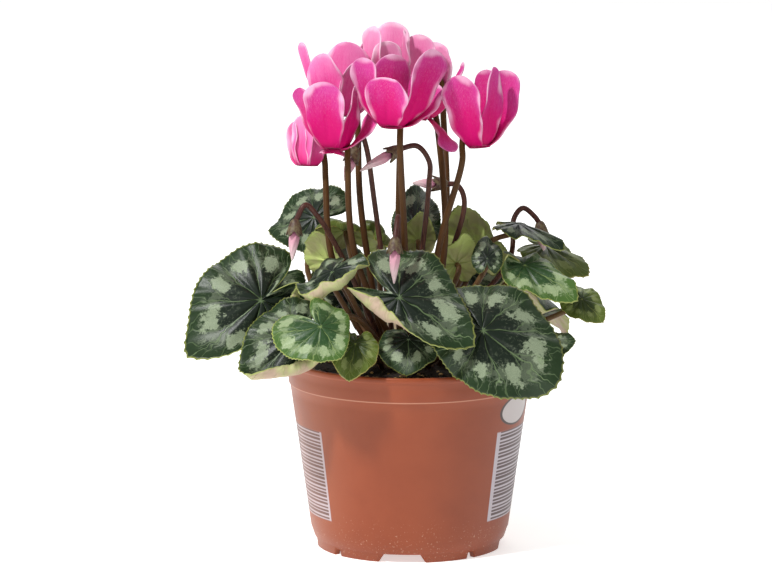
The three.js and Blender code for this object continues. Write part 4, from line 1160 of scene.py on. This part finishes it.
def add_pot():
    """The shell, with its foot ring notched and its inside darker."""
    mesh = Mesh()
    lathe(mesh, pot_profile(), POT_SIDES)
    points = mesh.points[0]
    for i, (x, y, z) in enumerate(points):
        radius = math.hypot(x, y)
        if radius >= FOOT_INNER_RADIUS - 1 and -0.01 <= z < POT_FOOT_HEIGHT - 0.1:
            cut = notch_height(math.degrees(math.atan2(y, x)), radius)
            points[i, 2] = max(z, min(cut, POT_FOOT_HEIGHT - 0.15))
    for number, face in enumerate(mesh.faces):
        radius = max(math.hypot(points[i, 0], points[i, 1]) for i in face)
        low = min(points[i, 2] for i in face)
        mesh.kinds[number] = int(low > POT_FLOOR_TOP - 0.01 and radius < wall_radius(low) - 0.5)
    dark = mottled("pot_inside", "1d1b1b 2b2726", 0.2, 0.4, 0.0001)
    stand_in(mesh, "pot", [pot_material("pot_plastic"), dark])


# Soil

SOIL_RINGS = 60
SOIL_SIDES = 240
CRUMBS = 700
CRUMB_RADIUS = 57
CRUMB_ROWS = ((1, 0.01), (0.5, 0.8), (-0.3, 1), (-1, 0.5))
CRUMB_SIDES = 6
FIBRES = 110
TWIG = [vec(-17, -48, 90.6), vec(-8, -50.5, 91.2), vec(2, -50, 91.0), vec(9, -48, 90.4)]


def add_crumb(mesh, draw, centre, size, kind):
    """A small uneven lump."""
    points = []
    for z, ring in CRUMB_ROWS:
        for k in range(CRUMB_SIDES):
            angle = k * math.pi / 3 + z
            reach = ring * size * draw.uniform(0.7, 1.2)
            points.append(centre + polar(reach, angle, z * size * 0.6))
    faces = [tuple(reversed(face)) for face in closed_faces(len(CRUMB_ROWS) - 1, CRUMB_SIDES)]
    mesh.add(points, faces, kind)


def add_soil():
    """The uneven soil with its crumbs, a twig and bark fibres."""
    mesh = Mesh()
    edge = POT_BAND_INNER_RADIUS - SOIL_FIT
    foot = POT_BODY_RADIUS_LOW - POT_WALL
    profile = [
        (0, SOIL_BOTTOM), (foot - POT_FLOOR_INSET - SOIL_FIT, SOIL_BOTTOM), (foot - SOIL_FIT, POT_BODY_Z),
        (POT_BODY_RADIUS_HIGH - POT_WALL - SOIL_FIT, POT_BAND_Z),
    ]
    profile += [(edge * i / SOIL_RINGS, SOIL_TOP) for i in range(SOIL_RINGS, -1, -1)]
    lathe(mesh, profile, SOIL_SIDES)
    points = mesh.points[0]
    top = points[:, 2] > SOIL_TOP - 0.1
    coarse = rough_height(points, 5, 16, 0.12, 0.5)
    fine = rough_height(points, 9, 40, 0.7, 3.5)
    away = np.hypot(points[:, 0], points[:, 1]) / edge
    lift = 0.5 * coarse + 0.45 * fine + 1.2 * smooth(0.85, 0.4, away)
    points[:, 2] += np.where(top, lift, 0)
    draw = random.Random(11)
    for _ in range(CRUMBS):
        radius = CRUMB_RADIUS * math.sqrt(draw.uniform(0.2, 0.98))
        angle = draw.uniform(0, 2 * math.pi)
        size = draw.uniform(0.4, 1.5)
        light = int(draw.random() < 0.35)
        add_crumb(mesh, draw, polar(radius, angle, SOIL_TOP + 0.5), size, light)
    twig = spline(TWIG, 20)
    add_tube(mesh, twig, [0.55 - 0.015 * i for i in range(len(twig))], 8, 1)
    for _ in range(FIBRES):
        radius = draw.uniform(42, 56)
        angle = draw.uniform(-2.6, -0.5)
        start = polar(radius, angle, SOIL_TOP + 0.9)
        lean = draw.uniform(0, math.pi)
        half = draw.uniform(1.0, 2.6)
        reach = polar(1, lean, draw.uniform(-0.1, 0.2)) * half
        add_tube(mesh, [start - reach, start + vec(0, 0, 0.2), start + reach], [0.15, 0.3, 0.12], 5, 1)
    look = mottled("soil", "120d0a 35271d", 0.8, 0.85, 0.0012, 6.0)
    bark = mottled("soil_bark", "86663f d8b983", 0.9, 0.8, 0.0004)
    stand_in(mesh, "soil", [look, bark])


add_tuber()
add_pot()
add_soil()


# Floor, light and camera

FLOOR_CORNERS = [(-4000, -3000, 0), (4000, -3000, 0), (4000, 5000, 0), (-4000, 5000, 0)]
FLOOR_GLOW = 0.55
WORLD_STRENGTH = 0.42
AIM = (0.0, 0.0, 0.13)
CAMERA_DISTANCE = 2.4
CAMERA_PITCH = math.radians(10)
CAMERA_TARGET = Vector((-0.0116, 0.0, 0.1254))
CAMERA_SENSOR = 36.0
CAMERA_LENS = 230.9
scene = bpy.context.scene


def add_light(name, place, size, power):
    """A square lamp that faces the plant."""
    data = bpy.data.lights.new(name, "AREA")
    data.energy = power
    data.size = size
    obj = bpy.data.objects.new(name, data)
    obj.location = place
    obj.rotation_euler = (Vector(AIM) - Vector(place)).to_track_quat("-Z", "Y").to_euler()
    scene.collection.objects.link(obj)


floor = Mesh()
floor.add(FLOOR_CORNERS, [(0, 1, 2, 3)])
paper = Shade("floor", 0.9)
paper.inputs["Emission Color"].default_value = (1, 1, 1, 1)
paper.inputs["Emission Strength"].default_value = FLOOR_GLOW
paper.finish("f4f4f3")
floor.build("floor", [paper.material])

add_light("key", (-0.9, -0.8, 1.5), 0.16, 31.0)
add_light("fill", (1.2, -1.0, 0.6), 1.2, 1.0)
add_light("back", (0.2, 1.3, 1.2), 1.0, 8.0)

world = bpy.data.worlds.new("studio")
scene.world = world
world.use_nodes = True
sky = world.node_tree.nodes["Background"]
sky.inputs["Color"].default_value = (1, 1, 1, 1)
sky.inputs["Strength"].default_value = WORLD_STRENGTH

look_along = Vector((0, math.cos(CAMERA_PITCH), -math.sin(CAMERA_PITCH)))
lens = bpy.data.cameras.new("camera")
lens.sensor_width = CAMERA_SENSOR
lens.sensor_fit = "HORIZONTAL"
lens.lens = CAMERA_LENS
camera = bpy.data.objects.new("camera", lens)
camera.location = CAMERA_TARGET - look_along * CAMERA_DISTANCE
camera.rotation_euler = look_along.to_track_quat("-Z", "Y").to_euler()
scene.collection.objects.link(camera)
scene.camera = camera
scene.view_settings.view_transform = "Standard"
